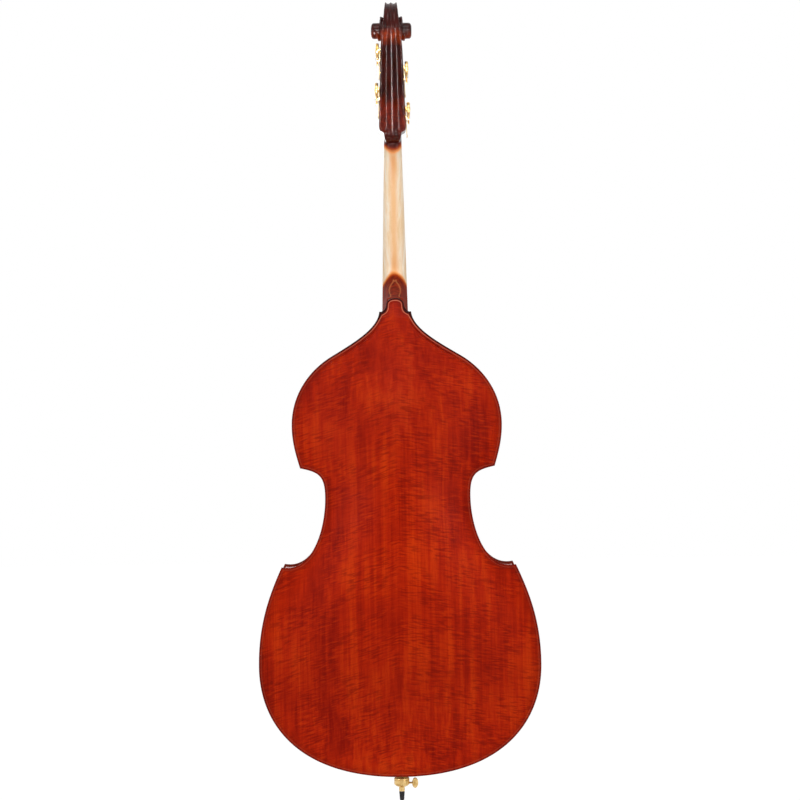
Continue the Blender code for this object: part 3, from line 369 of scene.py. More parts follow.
paint, tree, shader, _ = finish("painted_white_floor", "f4f4f4", 0.9, Specular_IOR_Level=0.0)
glow = put(tree, "Emission", WHITE, 1.06)
share = put(tree, "product", seen_white(tree), SHADELESS)
put(tree, tree.nodes["Material Output"], put(tree, "MixShader", share, shader, glow))

nothing()
bpy.ops.mesh.primitive_plane_add(size=40, location=(0, 0, FLOOR_Z))
floor = bpy.context.object
floor.name = "floor"
floor.data.materials.append(paint)

world = bpy.data.worlds.new("studio")
bpy.context.scene.world = world
world.use_nodes = True
tree = world.node_tree
tree.nodes.clear()
# strength 1 where it is seen, and 0.3 where it only lights
strength = put(tree, "sum", put(tree, "product", seen_white(tree), 0.7), 0.3)
put(tree, "OutputWorld", put(tree, "Background", WHITE, strength))
print("floor and world ready")

# %% [markdown]
# ## Lamps
# Two tall soft boxes light the back evenly from both sides, one hangs over the scroll, and one
# lights the strings side. Even light keeps the varnish's own colour. Gloss needs something
# narrow to mirror, though, so two small strips are added that light nothing themselves.


# %% Lamps
def softbox(name, place, aim, width, height, power, beam=180):
    """A soft lamp at a place, aimed at a point; beam is the angle it is shaded to."""
    nothing()
    bpy.ops.object.light_add(type="AREA", location=place)
    lamp = bpy.context.object
    lamp.name = name
    lamp.data.shape, lamp.data.size, lamp.data.size_y = "RECTANGLE", width, height
    lamp.data.energy, lamp.data.spread = power, math.radians(beam)
    lamp.visible_camera = False
    lamp.rotation_euler = (Vector(aim) - Vector(place)).to_track_quat("-Z", "Y").to_euler()
    return lamp


softbox("lamp_left", (2.6, 2.6, 1.6), (0, 0, 0.9), 1.0, 2.4, 46)
softbox("lamp_right", (-2.6, 2.6, 1.6), (0, 0, 0.9), 1.0, 2.4, 46)
softbox("lamp_top", (0, 1.2, 3.6), (0, 0, 1.0), 1.6, 1.2, 26)
softbox("lamp_front", (0.6, -3.2, 1.8), (0, 0, 0.9), 1.6, 2.2, 34)
# one strip is low, for the pegbox, which faces down a little, and one is high, for the
# scroll's crest and eyes
low_strip = softbox("strip_low", (0.08, 1.7, 0.5), (0, 0.05, 1.8), 0.12, 0.6, 3.2, 40)
high_strip = softbox("strip_high", (0, 4.2, 2.3), (0, 0.05, 1.85), 0.7, 0.3, 2.2, 30)
low_strip.visible_diffuse = high_strip.visible_diffuse = False
print("lamps ready")

# %% [markdown]
# ## Red varnish over flamed maple
# The back and ribs are maple, stained and varnished orange-red. Three patterns lie over each
# other on the real wood: broad streaks along the grain, pores a tenth of a millimetre wide,
# and the flame, which is curls a few centimetres long lying across the grain about 7 mm apart,
# where the fibres wave. A picture of wood could be wrapped on, but a network of noises keeps
# the true scale everywhere. Each pattern is a noise whose lumps are stretched to the size of
# the real thing; only the pores are drawn coarser, at 0.8 mm, so that they show at all.


# %% Patterns in wood
def grain(tree, place, x, y, z, detail=3.0):
    """Noise whose lumps measure x by y by z millimetres."""
    stretched = put(tree, "Mapping", place, Scale=(1000 / x, 1000 / y, 1000 / z))
    return put(tree, "TexNoise", stretched, 1, detail, 0.55)


def tilted(tree, place, left, right):
    """Coordinates whose level lines rise towards the centre, by a slope on each side."""
    x, y, z = put(tree, "SeparateXYZ", place).outputs
    sides = []
    for half, slope in (("larger", left), ("smaller", -right)):
        sides.append(put(tree, "product", put(tree, half, x, 0.0), slope))
    return put(tree, "CombineXYZ", x, y, put(tree, "sum", z, put(tree, "sum", *sides)))


def edge_shade_and_highlight(tree, shown, place):
    """Painted light along the edge: darker towards it, painted shade on its round, a painted highlight
    on its crest.
    """
    edge = put(tree, "Attribute", attribute_name="edge").outputs["Fac"]
    # the outer 22 mm darken towards the edge
    edge_darkening = put(tree, "eased", edge, 4.0, 22.0, 0.4, 0.0)
    shown = put(tree, "over", edge_darkening, shown, "5c0a03")
    height = put(tree, "SeparateXYZ", place).outputs["Z"]
    # at the shoulder's corner, 1.17 m up, the crest and the painted shade outside it lie 3 mm further
    # in
    beside = put(tree, "size", put(tree, "difference", height, 1.17))
    further = put(tree, "eased", beside, 0.0, 0.02, 3.0, 0.0)
    edge = put(tree, "difference", edge, further)
    # painted shade: the round outside the crest is drawn nearly black, above all on the upper bout,
    # where the edge turns up out of the light
    upper = put(tree, "eased", height, 0.99, 1.1, 0.35, 0.95)
    painted_edge_shade = put(tree, "eased", edge, 2.6, 4.4, 1.0, 0.0)
    painted_edge_shade = put(tree, "product", painted_edge_shade, upper)
    shown = put(tree, "over", painted_edge_shade, shown, "240402")
    # painted highlight: a pale line on the crest, 5.6 mm in, stronger towards the shoulder
    crest = put(tree, "size", put(tree, "difference", edge, 5.6))
    painted_light = put(tree, "eased", height, 1.0, 1.18, 0.1, 0.6)
    bare_wood_and_sheen = put(tree, "eased", crest, 0.4, 1.4, 1.0, 0.0)
    bare_wood_and_sheen = put(tree, "product", bare_wood_and_sheen, painted_light)
    return put(tree, "over", bare_wood_and_sheen, shown, "e08464")


print("patterns ready")


# %% Flamed maple
def flamed_maple(name, dark, middle, light, long_grain, curl_size, rim=True):
    """Varnished maple: long_grain and curl_size give a lump's x, y and z in mm."""
    made, tree, shader, place = finish(name, middle, 0.42, Specular_IOR_Level=0.05)
    x, y, z = long_grain
    broad = grain(tree, place, x * 4, y * 4, z * 3, 2)
    narrow = grain(tree, place, x, y, z)
    cloud = grain(tree, place, 130, 130, 170, 2)
    mixed = put(tree, "product", broad, 0.34)
    for pattern, share in ((narrow, 0.2), (cloud, 0.36)):
        mixed = put(tree, "sum", mixed, put(tree, "product", pattern, share))
    mixed = put(tree, "sum", mixed, 0.05)  # keeps the mean at the middle colour
    shown = put(tree, "ValToRGB", mixed, stops=((0.38, dark), (0.5, middle), (0.61, light)))
    # the flame: dark curls and, between them, curls that catch the light, in patches
    leaning = tilted(tree, place, 0.3, 0.14) if rim else place
    curl = grain(tree, leaning, *curl_size, 1.0)
    patch = put(tree, "eased", grain(tree, place, 60, 60, 60, 2), 0.34, 0.58, 0.25, 1.0)
    for stain, low, high, most in (("740e02", 0.47, 0.66, 0.55), (light, 0.45, 0.3, 0.45)):
        depth = put(tree, "product", put(tree, "eased", curl, low, high, 0.0, most), patch)
        shown = put(tree, "over", depth, shown, stain)
    pores = grain(tree, place, *(max(0.8, v / 7) for v in long_grain), 2)
    filled = put(tree, "eased", pores, 0.54, 0.7, 0.0, 0.3)
    shown = put(tree, "over", filled, shown, "7a1002")
    if rim:
        # the coat is thinner, so lighter, at the waist and along the bottom
        height = put(tree, "SeparateXYZ", place).outputs["Z"]
        coats = ((0.1, "ffffff"), (0.3, "ededed"), (0.62, "ffffff"), (0.95, "efefef"), (1.1, "f4f4f4"))
        coat = put(tree, "ValToRGB", height, stops=coats)
        # then painted shade and a painted highlight along the edge
        shown = edge_shade_and_highlight(tree, put(tree, "glazed", 1.0, shown, coat), place)
    rubbing = put(tree, "TexNoise", place, 30, 4)
    gloss = put(tree, "eased", rubbing, 0.3, 0.7, 0.36, 0.5)
    bump = put(tree, "Bump", 0.25, 0.05 * MM, Height=put(tree, "sum", pores, curl))
    put(tree, shader, Base_Color=shown, Roughness=gloss, Normal=bump)
    return made


# varnish brushed over one-piece maple, its grain upright and its curls across: a soft gloss
maple_back = flamed_maple(
    "maple_flamed_red_varnish_brushed", "8c1102", "b32203", "cb3605", (5, 5, 230), (24, 24, 3.5)
)
# the ribs' grain runs round the body, so their curls stand across the rib
maple_ribs = flamed_maple(
    "maple_rib_bent_red_varnish", "7a1003", "951a04", "a92505", (230, 5, 230), (3.5, 16, 3.5), False
)
print("flamed maple ready")

# %% [markdown]
# ## Spruce front
# The front is spruce, split on the quarter: straight lines of hard winter wood, 1 to 2 mm
# apart, under the same varnish. A wave texture would draw lines of one even width, so a noise
# is stretched along the grain instead, and bent a little, as the tree grew.


# %% Spruce front
def varnished_spruce(name, dark, light):
    """Spruce with its winter lines, a dark edge, and an inlaid line of purfling inside it."""
    made, tree, shader, place = finish(name, light, 0.4, Specular_IOR_Level=0.25)
    bend = put(tree, "TexNoise", put(tree, "Mapping", place, Scale=(8, 8, 1.2)), 1, 2)
    shift = put(tree, "product", put(tree, "difference", bend, 0.5), 0.012)
    x, _, z = put(tree, "SeparateXYZ", place).outputs
    flat = put(tree, "CombineXYZ", put(tree, "sum", x, shift), Z=z)
    rings = put(tree, "TexNoise", put(tree, "Mapping", flat, Scale=(650, 1, 0.5)), 1, 2, 0.6)
    shown = put(tree, "ValToRGB", rings, stops=((0.35, dark), (0.55, light), (0.75, light)))
    edge = put(tree, "Attribute", attribute_name="edge").outputs["Fac"]
    off = put(tree, "size", put(tree, "difference", edge, 8.5))
    # what lies over the lines: broad shades, the dark edge, and the purfling 8.5 mm inside it
    for pattern, low, high, most, least, over in (
        (grain(tree, place, 60, 60, 1500), 0.3, 0.7, 0.0, 0.35, dark),
        (edge, 0.0, 18.0, 0.5, 0.0, (0.08, 0.006, 0.002, 1)),
        (off, 0.7, 1.1, 0.85, 0.0, (0.012, 0.004, 0.002, 1)),
    ):
        factor = put(tree, "eased", pattern, low, high, most, least)
        shown = put(tree, "over", factor, shown, over)
    put(tree, shader, Base_Color=shown, Normal=put(tree, "Bump", 0.3, 0.06 * MM, Height=rings))
    return made


spruce_top = varnished_spruce("spruce_quartersawn_amber_red_varnish", "7a1c05", "a83a0a")
print("spruce ready")

# %% [markdown]
# ## The neck, bare between two fades of varnish
# The neck is left bare and oiled where the hand slides, and varnished at the heel and the
# head. The two finishes could be two materials, but the varnish fades out over a hand's
# breadth, so one material blends them by height, with thin orange varnish in between.


# %% Neck
def neck_maple(name):
    """Oiled maple that turns into dark red varnish above the nut and on the heel."""
    made, tree, shader, place = finish(name, "f2cda2", 0.5, Specular_IOR_Level=0.13)
    split = put(tree, "SeparateXYZ", place).outputs
    height = put(tree, "difference", split["Z"], BODY_UP * MM)
    across = put(tree, "size", split["X"])
    # painted light: the bare maple is drawn near white, as the side lamps' sheen makes it look, with a
    # darker orange stripe along the middle between the two sheens
    stops = ((0.35, "f4d2a6"), (0.5, "fde2c0"), (0.66, "fff0da"))
    bare_wood_and_sheen = put(tree, "ValToRGB", grain(tree, place, 7, 7, 260), stops=stops)
    off_middle = put(tree, "size", put(tree, "difference", height, 1.34))
    painted_light = put(tree, "over", put(tree, "eased", off_middle, 0.06, 0.15), "f8c084", "f2a45c")
    middle = put(tree, "eased", across, 0.001, 0.014, 0.85, 0.0)
    bare_wood_and_sheen = put(tree, "over", middle, bare_wood_and_sheen, painted_light)
    pores = grain(tree, place, 0.7, 0.7, 12, 2)
    filled = put(tree, "eased", pores, 0.55, 0.7, 0.0, 0.2)
    bare_wood_and_sheen = put(tree, "over", filled, bare_wood_and_sheen, "c98f5c")
    # varnish: nearly black on the scroll, redder on the chin, the pegbox's ends and the heel
    along_head = put(tree, "quotient", put(tree, "difference", height, 1.5), 0.36)
    stops = ((0.0, "681606"), (0.09, "561206"), (0.19, "8e2408"), (0.28, "86200a"), (0.38, "4c1007"))
    stops += ((0.67, "4a0e06"), (0.72, "a83608"), (0.75, "a83608"), (0.79, "4a0e06"), (1.0, "3a0a05"))
    coat = put(tree, "ValToRGB", along_head, stops=stops)
    stops = ((0.36, "9c9c9c"), (0.52, "dedede"), (0.68, "ffffff"))
    streaks = put(tree, "ValToRGB", grain(tree, place, 9, 9, 130), stops=stops)
    coat = put(tree, "glazed", 1.0, coat, streaks)
    curl = put(tree, "eased", grain(tree, place, 14, 14, 3.5, 1), 0.48, 0.66, 0.0, 0.35)
    coat = put(tree, "over", curl, coat, "2c0604")
    # the varnish stops on a ragged line, which is higher on the heel's middle
    ragged = put(tree, "difference", put(tree, "TexNoise", place, 45, 2), 0.5)
    level = put(tree, "sum", height, put(tree, "product", ragged, 0.01))
    bow = put(tree, "product", put(tree, "product", across, across), 35.0)
    low = put(tree, "eased", put(tree, "sum", level, bow), 1.188, 1.222, 1.0, 0.0)
    high = put(tree, "difference", level, bow)
    high = put(tree, "eased", high, 1.482, 1.522, 0.0, 1.0)
    heel_coat = put(tree, "glazed", 1.0, streaks, "942a0c")
    coat = put(tree, "over", low, coat, heel_coat)
    covered = put(tree, "sum", low, high, use_clamp=True)
    # thin varnish at the fades glows orange before it turns dark red
    stops = ((0.0, "fbe0bc"), (0.3, "fba65c"), (0.6, "b8440f"), (1.0, "7e1c08"))
    thin = put(tree, "ValToRGB", covered, stops=stops)
    shown = put(tree, "over", put(tree, "eased", covered, 0.0, 0.35), bare_wood_and_sheen, thin)
    shown = put(tree, "over", put(tree, "eased", covered, 0.55, 0.95), shown, coat)
    # painted highlights, drawn orange, along the heel's crest lines
    worn = put(tree, "Attribute", attribute_name="worn").outputs["Fac"]
    worn = put(tree, "product", worn, 0.55)
    shown = put(tree, "over", worn, shown, "cc7444")
    # bare wood and the handled heel are dull, the head is glossy
    gloss = put(tree, "eased", height, 1.25, 1.53, 0.92, 0.23)
    bump = put(tree, "Bump", 0.2, 0.03 * MM, Height=pores)
    put(tree, shader, Base_Color=shown, Roughness=gloss, Normal=bump)
    return made


neck_look = neck_maple("maple_neck_oiled_with_varnish_fades")
print("neck finish ready")

# %% [markdown]
# ## Bare wood, ebony, metal and rubber
# Ebony is nearly black with faint brown streaks, and the bridge and the sticks inside the body
# are planed and left bare. Brass and steel get cloudy tarnish and fine polishing marks, because
# a metal of one even roughness looks like plastic. Moulded rubber is dull and gritty.


# %% Bare wood, ebony, metal and rubber
def plain_wood(name, dark, middle, light, lump, roughness):
    """Bare or oiled wood; lump gives x, y and z of its grain in mm."""
    made, tree, shader, place = finish(name, middle, roughness, Specular_IOR_Level=0.25)
    stops = ((0.35, dark), (0.5, middle), (0.66, light))
    shown = put(tree, "ValToRGB", grain(tree, place, *lump), stops=stops)
    pores = grain(tree, place, *(max(0.6, v / 12) for v in lump), 2)
    open_pores = put(tree, "eased", pores, 0.56, 0.7, 0.0, 0.3)
    shown = put(tree, "over", open_pores, shown, dark)
    put(tree, shader, Base_Color=shown, Normal=put(tree, "Bump", 0.3, 0.05 * MM, Height=pores))
    return made


def polished(name, dull, bright, roughness, marks):
    """Metal with a cloudy tarnish and fine upright polishing marks, marks mm deep."""
    made, tree, shader, place = finish(name, bright, roughness, 1.0)
    tarnish = put(tree, "TexNoise", place, 140, 4)
    shown = put(tree, "ValToRGB", tarnish, stops=((0.35, dull), (0.6, bright)))
    fine = put(tree, "TexNoise", put(tree, "Mapping", place, Scale=(900, 900, 90)), 1, 2)
    gloss = put(tree, "eased", fine, 0.3, 0.7, roughness * 0.75, roughness * 1.35)
    bump = put(tree, "Bump", 0.2, marks * MM, Height=fine)
    put(tree, shader, Base_Color=shown, Roughness=gloss, Normal=bump)
    return made


spruce_raw = plain_wood("spruce_planed_unfinished", "c09a62", "d8b780", "e6cb9b", (4, 4, 300), 0.7)
bridge_maple = plain_wood("maple_bridge_scraped", "a8743f", "c8935a", "dcae78", (120, 4, 4), 0.5)
ebony = plain_wood("ebony_oiled_and_polished", "0b0908", "161211", "241c18", (3, 3, 160), 0.34)
brass = polished("brass_cast_and_polished", "ba9250", "e8c688", 0.22, 0.008)
steel = polished("steel_turned_and_polished", "8f9093", "c4c5c8", 0.26, 0.01)
string_wrap = polished("steel_flat_wound_string", "55565a", "8d8e92", 0.34, 0.02)

rubber, tree, shader, place = finish("rubber_moulded_black", "1b1a1a", 0.62)
grit = put(tree, "TexNoise", place, 1400, 3)
shown = put(tree, "ValToRGB", grit, stops=((0.3, "121212"), (0.7, "2a2929")))
put(tree, shader, Base_Color=shown, Normal=put(tree, "Bump", 0.4, 0.05 * MM, Height=grit))
print("materials ready:", len(bpy.data.materials))

# %% [markdown]
# ## The body's outline
# A maker draws a bass from one half pattern and flips it over the centre line. The pattern is
# a Bezier curve: seven arcs from the bottom to the shoulder, with sharp corners where the
# ribs meet. Drawing it as a curve keeps few points to place, and any fineness can be read
# from it. The back carries a round button at the top, which covers the neck's heel.

# %% The pattern and its arching
# each arc: start, its handle, the next point's handle, next point (mm)
ARCS = (
    ((0, 0), (231, 0), (335, 118), (335, 265)),
    ((335, 265), (335, 363), (310, 431.5), (278, 500.5)),
    ((278, 500.5), (206, 485.5), (172.4, 588), (172.4, 665)),
    ((172.4, 665), (172.4, 717), (187, 725), (231, 734.5)),
    ((231, 734.5), (240, 764.5), (249.7, 796), (249.7, 835)),
    ((249.7, 835), (249.7, 913), (203.3, 970), (152.3, 1000)),
    ((152.3, 1000), (95.3, 1034), (41, 1066), (38, 1105)),
)
ARC_STEPS = (60, 26, 30, 26, 16, 30, 28)
# the button: flared at its root, straight-sided, and round on top
FLARE = ((33.5, 1104.6), (27.5, 1107), (22.6, 1112), (21, 1121))
BUTTON = ((21, 1121), (21, 1131.5), (12, 1137), (0, 1137))
BUTTON_TOP, SHOULDER = 1137.0, 1105.0
LOWER_BOUT, WAIST, UPPER_BOUT = (265, 335), (665, 172.4), (835, 249.7)  # height, half width
RIM = 14.0  # the flat rim between the outline and the arching
RIB_DEPTH = 200.0
TOP_ARCH, BACK_ARCH = 28.0, 36.0


def bezier(a, b, c, d, steps):
    """Points along one cubic arc, its last end left out."""
    t = np.linspace(0, 1, steps + 1)[:-1, None]
    a, b, c, d = (np.array(p, float) for p in (a, b, c, d))
    return (1 - t) ** 3 * a + 3 * (1 - t) ** 2 * t * b + 3 * (1 - t) * t**2 * c + t**3 * d


def mirrored_loop(points):
    """A half pattern closed over the centre line; only the first value changes sign."""
    left = [(-p[0], *p[1:]) for p in reversed(points) if p[0] > 1e-6]
    return np.array([tuple(p) for p in points] + left, float)


half = [p for arc, steps in zip(ARCS, ARC_STEPS) for p in bezier(*arc, steps)]
half.append(np.array(ARCS[-1][-1], float))
crown = [*bezier(*FLARE, 6), *bezier(*BUTTON, 10), BUTTON[-1]]
corners = np.cumsum((0, *ARC_STEPS))
# where each point of the pattern meets the centre line, when the outline closes up on it
SPINE = (190, 322, 400, 655, 752, 815, 886, 931)


def with_spine(points):
    """Gives each point of a half pattern its height on the centre line."""
    steps = range(len(points))
    heights = np.interp(steps, (*corners, corners[-1] + 16), (*SPINE, 940))
    return [(*p, h) for p, h in zip(points, heights)]


top_edge = [(x, SHOULDER) for x in (30, 22, 14, 7, 0)]
top_loop = mirrored_loop(with_spine([*half, *top_edge]))
back_loop = mirrored_loop(with_spine([*half, *crown]))


def inset(loop, distance):
    """A closed outline moved inwards; points that would cross at a corner stay in it."""
    line = loop[:, :2]
    before = line - np.roll(line, 1, axis=0)
    after = np.roll(line, -1, axis=0) - line
    before /= np.linalg.norm(before, axis=1)[:, None]
    after /= np.linalg.norm(after, axis=1)[:, None]
    mitre = np.stack([-(before + after)[:, 1], (before + after)[:, 0]], axis=1)
    moved = line + mitre * (2 * distance / (mitre**2).sum(axis=1))[:, None]
    # how near each moved point comes to any stretch of the outline
    reach = moved[:, None] - line
    stretch = np.roll(line, -1, axis=0) - line
    share = ((reach * stretch).sum(axis=2) / (stretch**2).sum(axis=1)).clip(0, 1)
    gaps = np.linalg.norm(reach - share[:, :, None] * stretch, axis=2).min(axis=1)
    sharp = np.flatnonzero((before * after).sum(axis=1) < 0.8)
    for k in np.flatnonzero(gaps < distance * 0.995 - 0.01):
        near = np.abs((sharp - k + len(line) // 2) % len(line) - len(line) // 2)
        if near.min() < 24:
            moved[k] = moved[sharp[near.argmin()]]
    return np.column_stack([moved, loop[:, 2:]])


def back_edge(z):
    """Depth of the ribs' back edge, which leans forward above the upper corners."""
    past = z - 760.0
    return RIB_DEPTH / 2 - 0.068 * (np.sqrt(past**2 + 50.0**2) + past) / 2


def front_edge(_):
    """Depth of the ribs' front edge, the same at every height."""
    return -RIB_DEPTH / 2


def arch_width(z):
    """Half width of the arched field at one height: the outline without its corners."""
    for (level, wide), end, power in ((LOWER_BOUT, RIM, 2.4), (UPPER_BOUT, SHOULDER - RIM, 2.2)):
        share = (level - z) / (level - end)
        if share > 0:
            return (wide - RIM) * math.sqrt(max(0.0, 1 - share**power))
    level, wide = LOWER_BOUT if z < WAIST[0] else UPPER_BOUT
    u = (level - z) / (level - WAIST[0])
    return wide + (WAIST[1] - wide) * (1 - math.cos(math.pi * u)) / 2 - RIM


def arch(x, z, height):
    """Rise of the arching: a soft bell across, quick to rise from both ends."""
    width = arch_width(z)
    if width <= 0 or abs(x) >= width:
        return 0.0
    across = math.cos(math.pi / 2 * abs(x) / width) ** 1.35
    ends = max(0.0, min(1.0, min(z - RIM, SHOULDER - RIM - z) / 330))
    return height * across * math.sin(math.pi / 2 * ends) ** 0.9


print("outline:", len(top_loop), "points; button adds", len(back_loop) - len(top_loop))

# %% [markdown]
# ## Back and front plates
# Each plate is one carved board, 7 mm thick at its rounded edge, scooped just inside it and
# then rising into the arch. A flat sheet with a displacement map would lose the edge. So the
# plate is skinned in rings, like a contour map: the rings follow the outline at the edge and
# close up on the centre line, and each point is lifted by the arching's formula.

# %% Plates
def plate(name, loop, edge, side, height):
    """An arched plate: side is +1 for the back, -1 for the front."""
    rows, rims = [], []

    def ring(points, rise, rim):
        lift = np.array([rise(x, z) for x, z in points[:, :2]])
        depth = edge(points[:, 1]) + side * (0.3 + lift)
        rows.append(np.stack([points[:, 0], depth, points[:, 1]], axis=1))
        rims.append(np.full(len(points), float(rim)))

    def closing(points, s):
        """The outline on its way to the centre line, s from 0 to 1."""
        close = np.stack([0 * points[:, 0], points[:, 2]], axis=1)
        return (1 - s) * points[:, :2] + s * close

    landing = inset(loop, RIM)
    for s in (1, 0.8, 0.6, 0.45, 0.3, 0.18, 0.08):
        ring(closing(landing, s), lambda x, z: max(0.0, arch(x, z, height) - 1.2), 40)
    ring(landing, lambda x, z: 0.0, RIM)
    # the rounded edge: a half circle from the glued side to the outer side, then the channel
    ring(inset(loop, 1.2), lambda x, z: 0.0, 0)
    for angle in np.radians((-70, -45, -20, 0, 20, 45, 70)):
        out, up = 2.4 * math.cos(angle), 3.3 * math.sin(angle)
        ring(inset(loop, 2.4 - out), lambda x, z: 3.5 + up, 0)
    for inside, lift in ((3.2, 6.95), (4.6, 6.7), (6.4, 6.2), (8.4, 5.75), (10.2, 5.52)):
        ring(inset(loop, inside), lambda x, z: lift, inside)
    rim = inset(loop, 12.0)
    for s in np.linspace(0, 1, 41):
        ring(closing(rim, s), lambda x, z: 5.5 + arch(x, z, height), 12 + 150 * s)
    return skinned(name, rows, capped=False, fields={"edge": rims})


back = plate("back", back_loop, back_edge, 1, BACK_ARCH)
front = plate("front", top_loop, front_edge, -1, TOP_ARCH)
print("plates:", len(back.data.polygons), "and", len(front.data.polygons), "faces")

# %% [markdown]
# ## The f-holes
# Sound holes are cut through the finished front with a knife: a stem that swells towards its
# middle between two round eyes, with a small nick that marks the bridge's place. A boolean
# cut does what the knife does. The stem's few points are joined by a smooth curve first.

# %% f-holes


def smooth_path(points, steps):
    """A smooth (Catmull-Rom) curve through a row of points of any dimension."""
    p = np.array(points, float)
    p = np.vstack([2 * p[0] - p[1], p, 2 * p[-1] - p[-2]])
    found = []
    for k in range(1, len(p) - 2):
        for t in np.linspace(0, 1, steps, endpoint=False):
            a, b, c, d = p[k - 1 : k + 3]
            curve = 2 * b + (c - a) * t + (2 * a - 5 * b + 4 * c - d) * t**2
            found.append(0.5 * (curve + (3 * b - a - 3 * c + d) * t**3))
    return np.array([*found, p[-2]])


# the stem's middle line, from its lower end up: across, height and half width (mm)
STEM = (
    (62, 596, 1.6), (68, 607, 2.2), (80, 611, 3), (92, 602, 4), (99, 580, 5),
    (101, 545, 5.6), (99, 500, 6), (97, 455, 5.6), (99, 415, 5),
    (106, 392, 4), (118, 381, 3), (131, 382, 2.2), (138, 391, 1.6),
)
THROUGH_FRONT = (-145, -90)  # depths between which a cutter goes through the front


def f_cutters(side):
    """The cutters of one f-hole; side is +1 or -1."""
    line = smooth_path(STEM, 6)
    along = np.gradient(line[:, :2], axis=0)
    along /= np.linalg.norm(along, axis=1)[:, None]
    across = np.stack([-along[:, 1], along[:, 0]], axis=1) * line[:, 2:]
    ring = np.vstack([line[:, :2] + across, (line[:, :2] - across)[::-1]]) * (side, 1)
    tools = [sawn("stem", ring[::side], *THROUGH_FRONT)]
    for x, z, radius in ((68, 590, 11), (128, 397, 15)):
        tools.append(drill(radius, *THROUGH_FRONT, 48, (side * x, 0, z), "Y"))
    for z, reach in ((497, 10.5), (503, -10.5)):
        nick = [(99, z + 2.2), (99 + reach, z), (99, z - 2.2)]
        tools.append(sawn("nick", np.array(nick) * (side, 1), *THROUGH_FRONT))
    return tools


for side in (1, -1):
    carve(front, *f_cutters(side))
carve(front, sawn("heel_notch", oblong(-33, 1081, 33, 1125), -140, -80))
carve(front, sawn("saddle_notch", oblong(-30.3, -6, 30.3, 10.3), -140, -99.9))
for obj in (back, front):
    shade(obj, 40)
seat(back, "instrument", "back_plate", "maple_back", maple_back)
seat(front, "instrument", "top_plate", "spruce_top", spruce_top)
print("front after its f-holes:", len(front.data.polygons), "faces")

# %% [markdown]
# ## Ribs
# The ribs are strips of maple, bent over a hot iron and glued between the plates, three to a
# side. They stand 6 mm inside the plates' edge. A strip is its line on the pattern, given
# thickness and stretched from plate to plate; the back edge follows the leaning back.

# %% Ribs
rib_line, rib_inner = inset(top_loop, 6.0), inset(top_loop, 7.6)


def rib(name, first, last, side):
    """One rib, between two corners of the pattern."""
    rows = []
    for outer, inner in zip(rib_line[first:last, :2], rib_inner[first:last, :2]):
        ring = []
        for (x, z), edges in ((outer, (front_edge, back_edge)), (inner, (back_edge, front_edge))):
            ring += [(side * x, edge(z), z) for edge in edges]
        rows.append(ring)
    return skinned(name, rows)


for name, a, b in (("lower", 0, 2), ("middle", 2, 4), ("upper", 4, 7)):
    for side, word in ((1, "left"), (-1, "right")):
        piece = rib(f"ribs_{name}_{word}", corners[a], corners[b] + 1, side)
        if name == "lower":  # half the endpin's hole is in each
            carve(piece, drill(15.6, -30, 30, 32))
        shade(piece, 30)
        seat(piece, "instrument", f"rib_{name}_{word}", "maple_ribs", maple_ribs)
print("six ribs")

# %% [markdown]
# ## Neck and pegbox
# Neck, heel, pegbox and scroll are carved from one block of maple. Carving can't be undone, so
# here it goes the other way: each form is skinned by itself, at its own fineness, and they
# are joined at the end. The neck is a half round that turns into a flat-sided heel; the
# pegbox has two flutes down its back with a ridge between them.

# %% Neck and heel
NUT_Z = 1531.0
GLUE_Y = -80.5


def glue_face(z):
    """Depth of the neck's flat face under the fingerboard."""
    return GLUE_Y - 0.1622 * (NUT_Z - z)


def neck_half(z):
    """Half width of the neck, the same as the fingerboard's."""
    return 21.5 + 0.024 * (NUT_Z - z)


def neck_depth(z):
    """Depth behind the glue face: down to the back at the heel, slim above it."""
    slim = 24 + 0.012 * (NUT_Z - z)
    full = float(back_edge(z)) - glue_face(z)
    if z <= BUTTON_TOP:
        return full
    u = min(1.0, (z - BUTTON_TOP) / 92)
    return slim + (full - slim) * (1 - u) ** 2.2


def heel_facet(z):
    """Half width of the heel's back face: as wide as the button, then waisted over it."""
    heights = (1137, 1140, 1143, 1147, 1152, 1158, 1164, 1171, 1177, 1182, 1186, 1192)
    widths = (19.5, 12.5, 10.2, 11, 13, 14, 13.4, 11.4, 8.5, 5, 3, 3)
    return float(np.interp(z, heights, widths))


def neck_section(z):
    """One level of the neck, flat in front, round behind, deep and tapered at the heel."""
    half_width, depth, facet = neck_half(z), neck_depth(z), heel_facet(z)
    heel = max(0.0, min(1.0, 1 - (z - BUTTON_TOP) / 80))
    right = [(half_width, 0.0)]
    for u in np.linspace(0, 4, 25):
        angle = math.pi / 8 * u
        side = np.interp(u, range(5), (0.02, 0.35, 0.7, 0.96, 1))
        taper = np.interp(u, range(5), (0, 0.33, 0.68, 1, 1))
        x_round = half_width * max(0.0, math.cos(angle)) ** 0.85
        b_round = 5 + (depth - 5) * math.sin(angle) ** 0.9
        flat = min(1.0, 4 - u) if u > 3 else 1.0
        x_heel = (half_width + (facet - half_width) * taper) * flat
        b_heel = max(5.0, depth * side)
        right.append((x_round + (x_heel - x_round) * heel, b_round + (b_heel - b_round) * heel))
    left = [(-x, b) for x, b in reversed(right[:-1])]
    return [(x, glue_face(z) + b, z) for x, b in right + left]


levels = [1087, 1100, 1112, 1124, 1137, *range(1139, 1196, 3), *range(1198, 1235, 4)]
levels += [*range(1240, 1530, 12), 1534, 1539]
neck = skinned("neck", [neck_section(z) for z in levels])
print("neck:", len(neck.data.polygons), "faces")


# %% Pegbox
def cheek_half(dz):
    """Half width of the pegbox, dz above the nut."""
    return 33 - 6.5 / 181 * (dz - 24)


def cheek_front(dz):
    """Depth of the cheeks' front edge."""
    return GLUE_Y + 0.52 * dz - 4


def cheek_back(dz):
    """Depth of the pegbox's back."""
    return GLUE_Y + 62 + 0.408 * dz


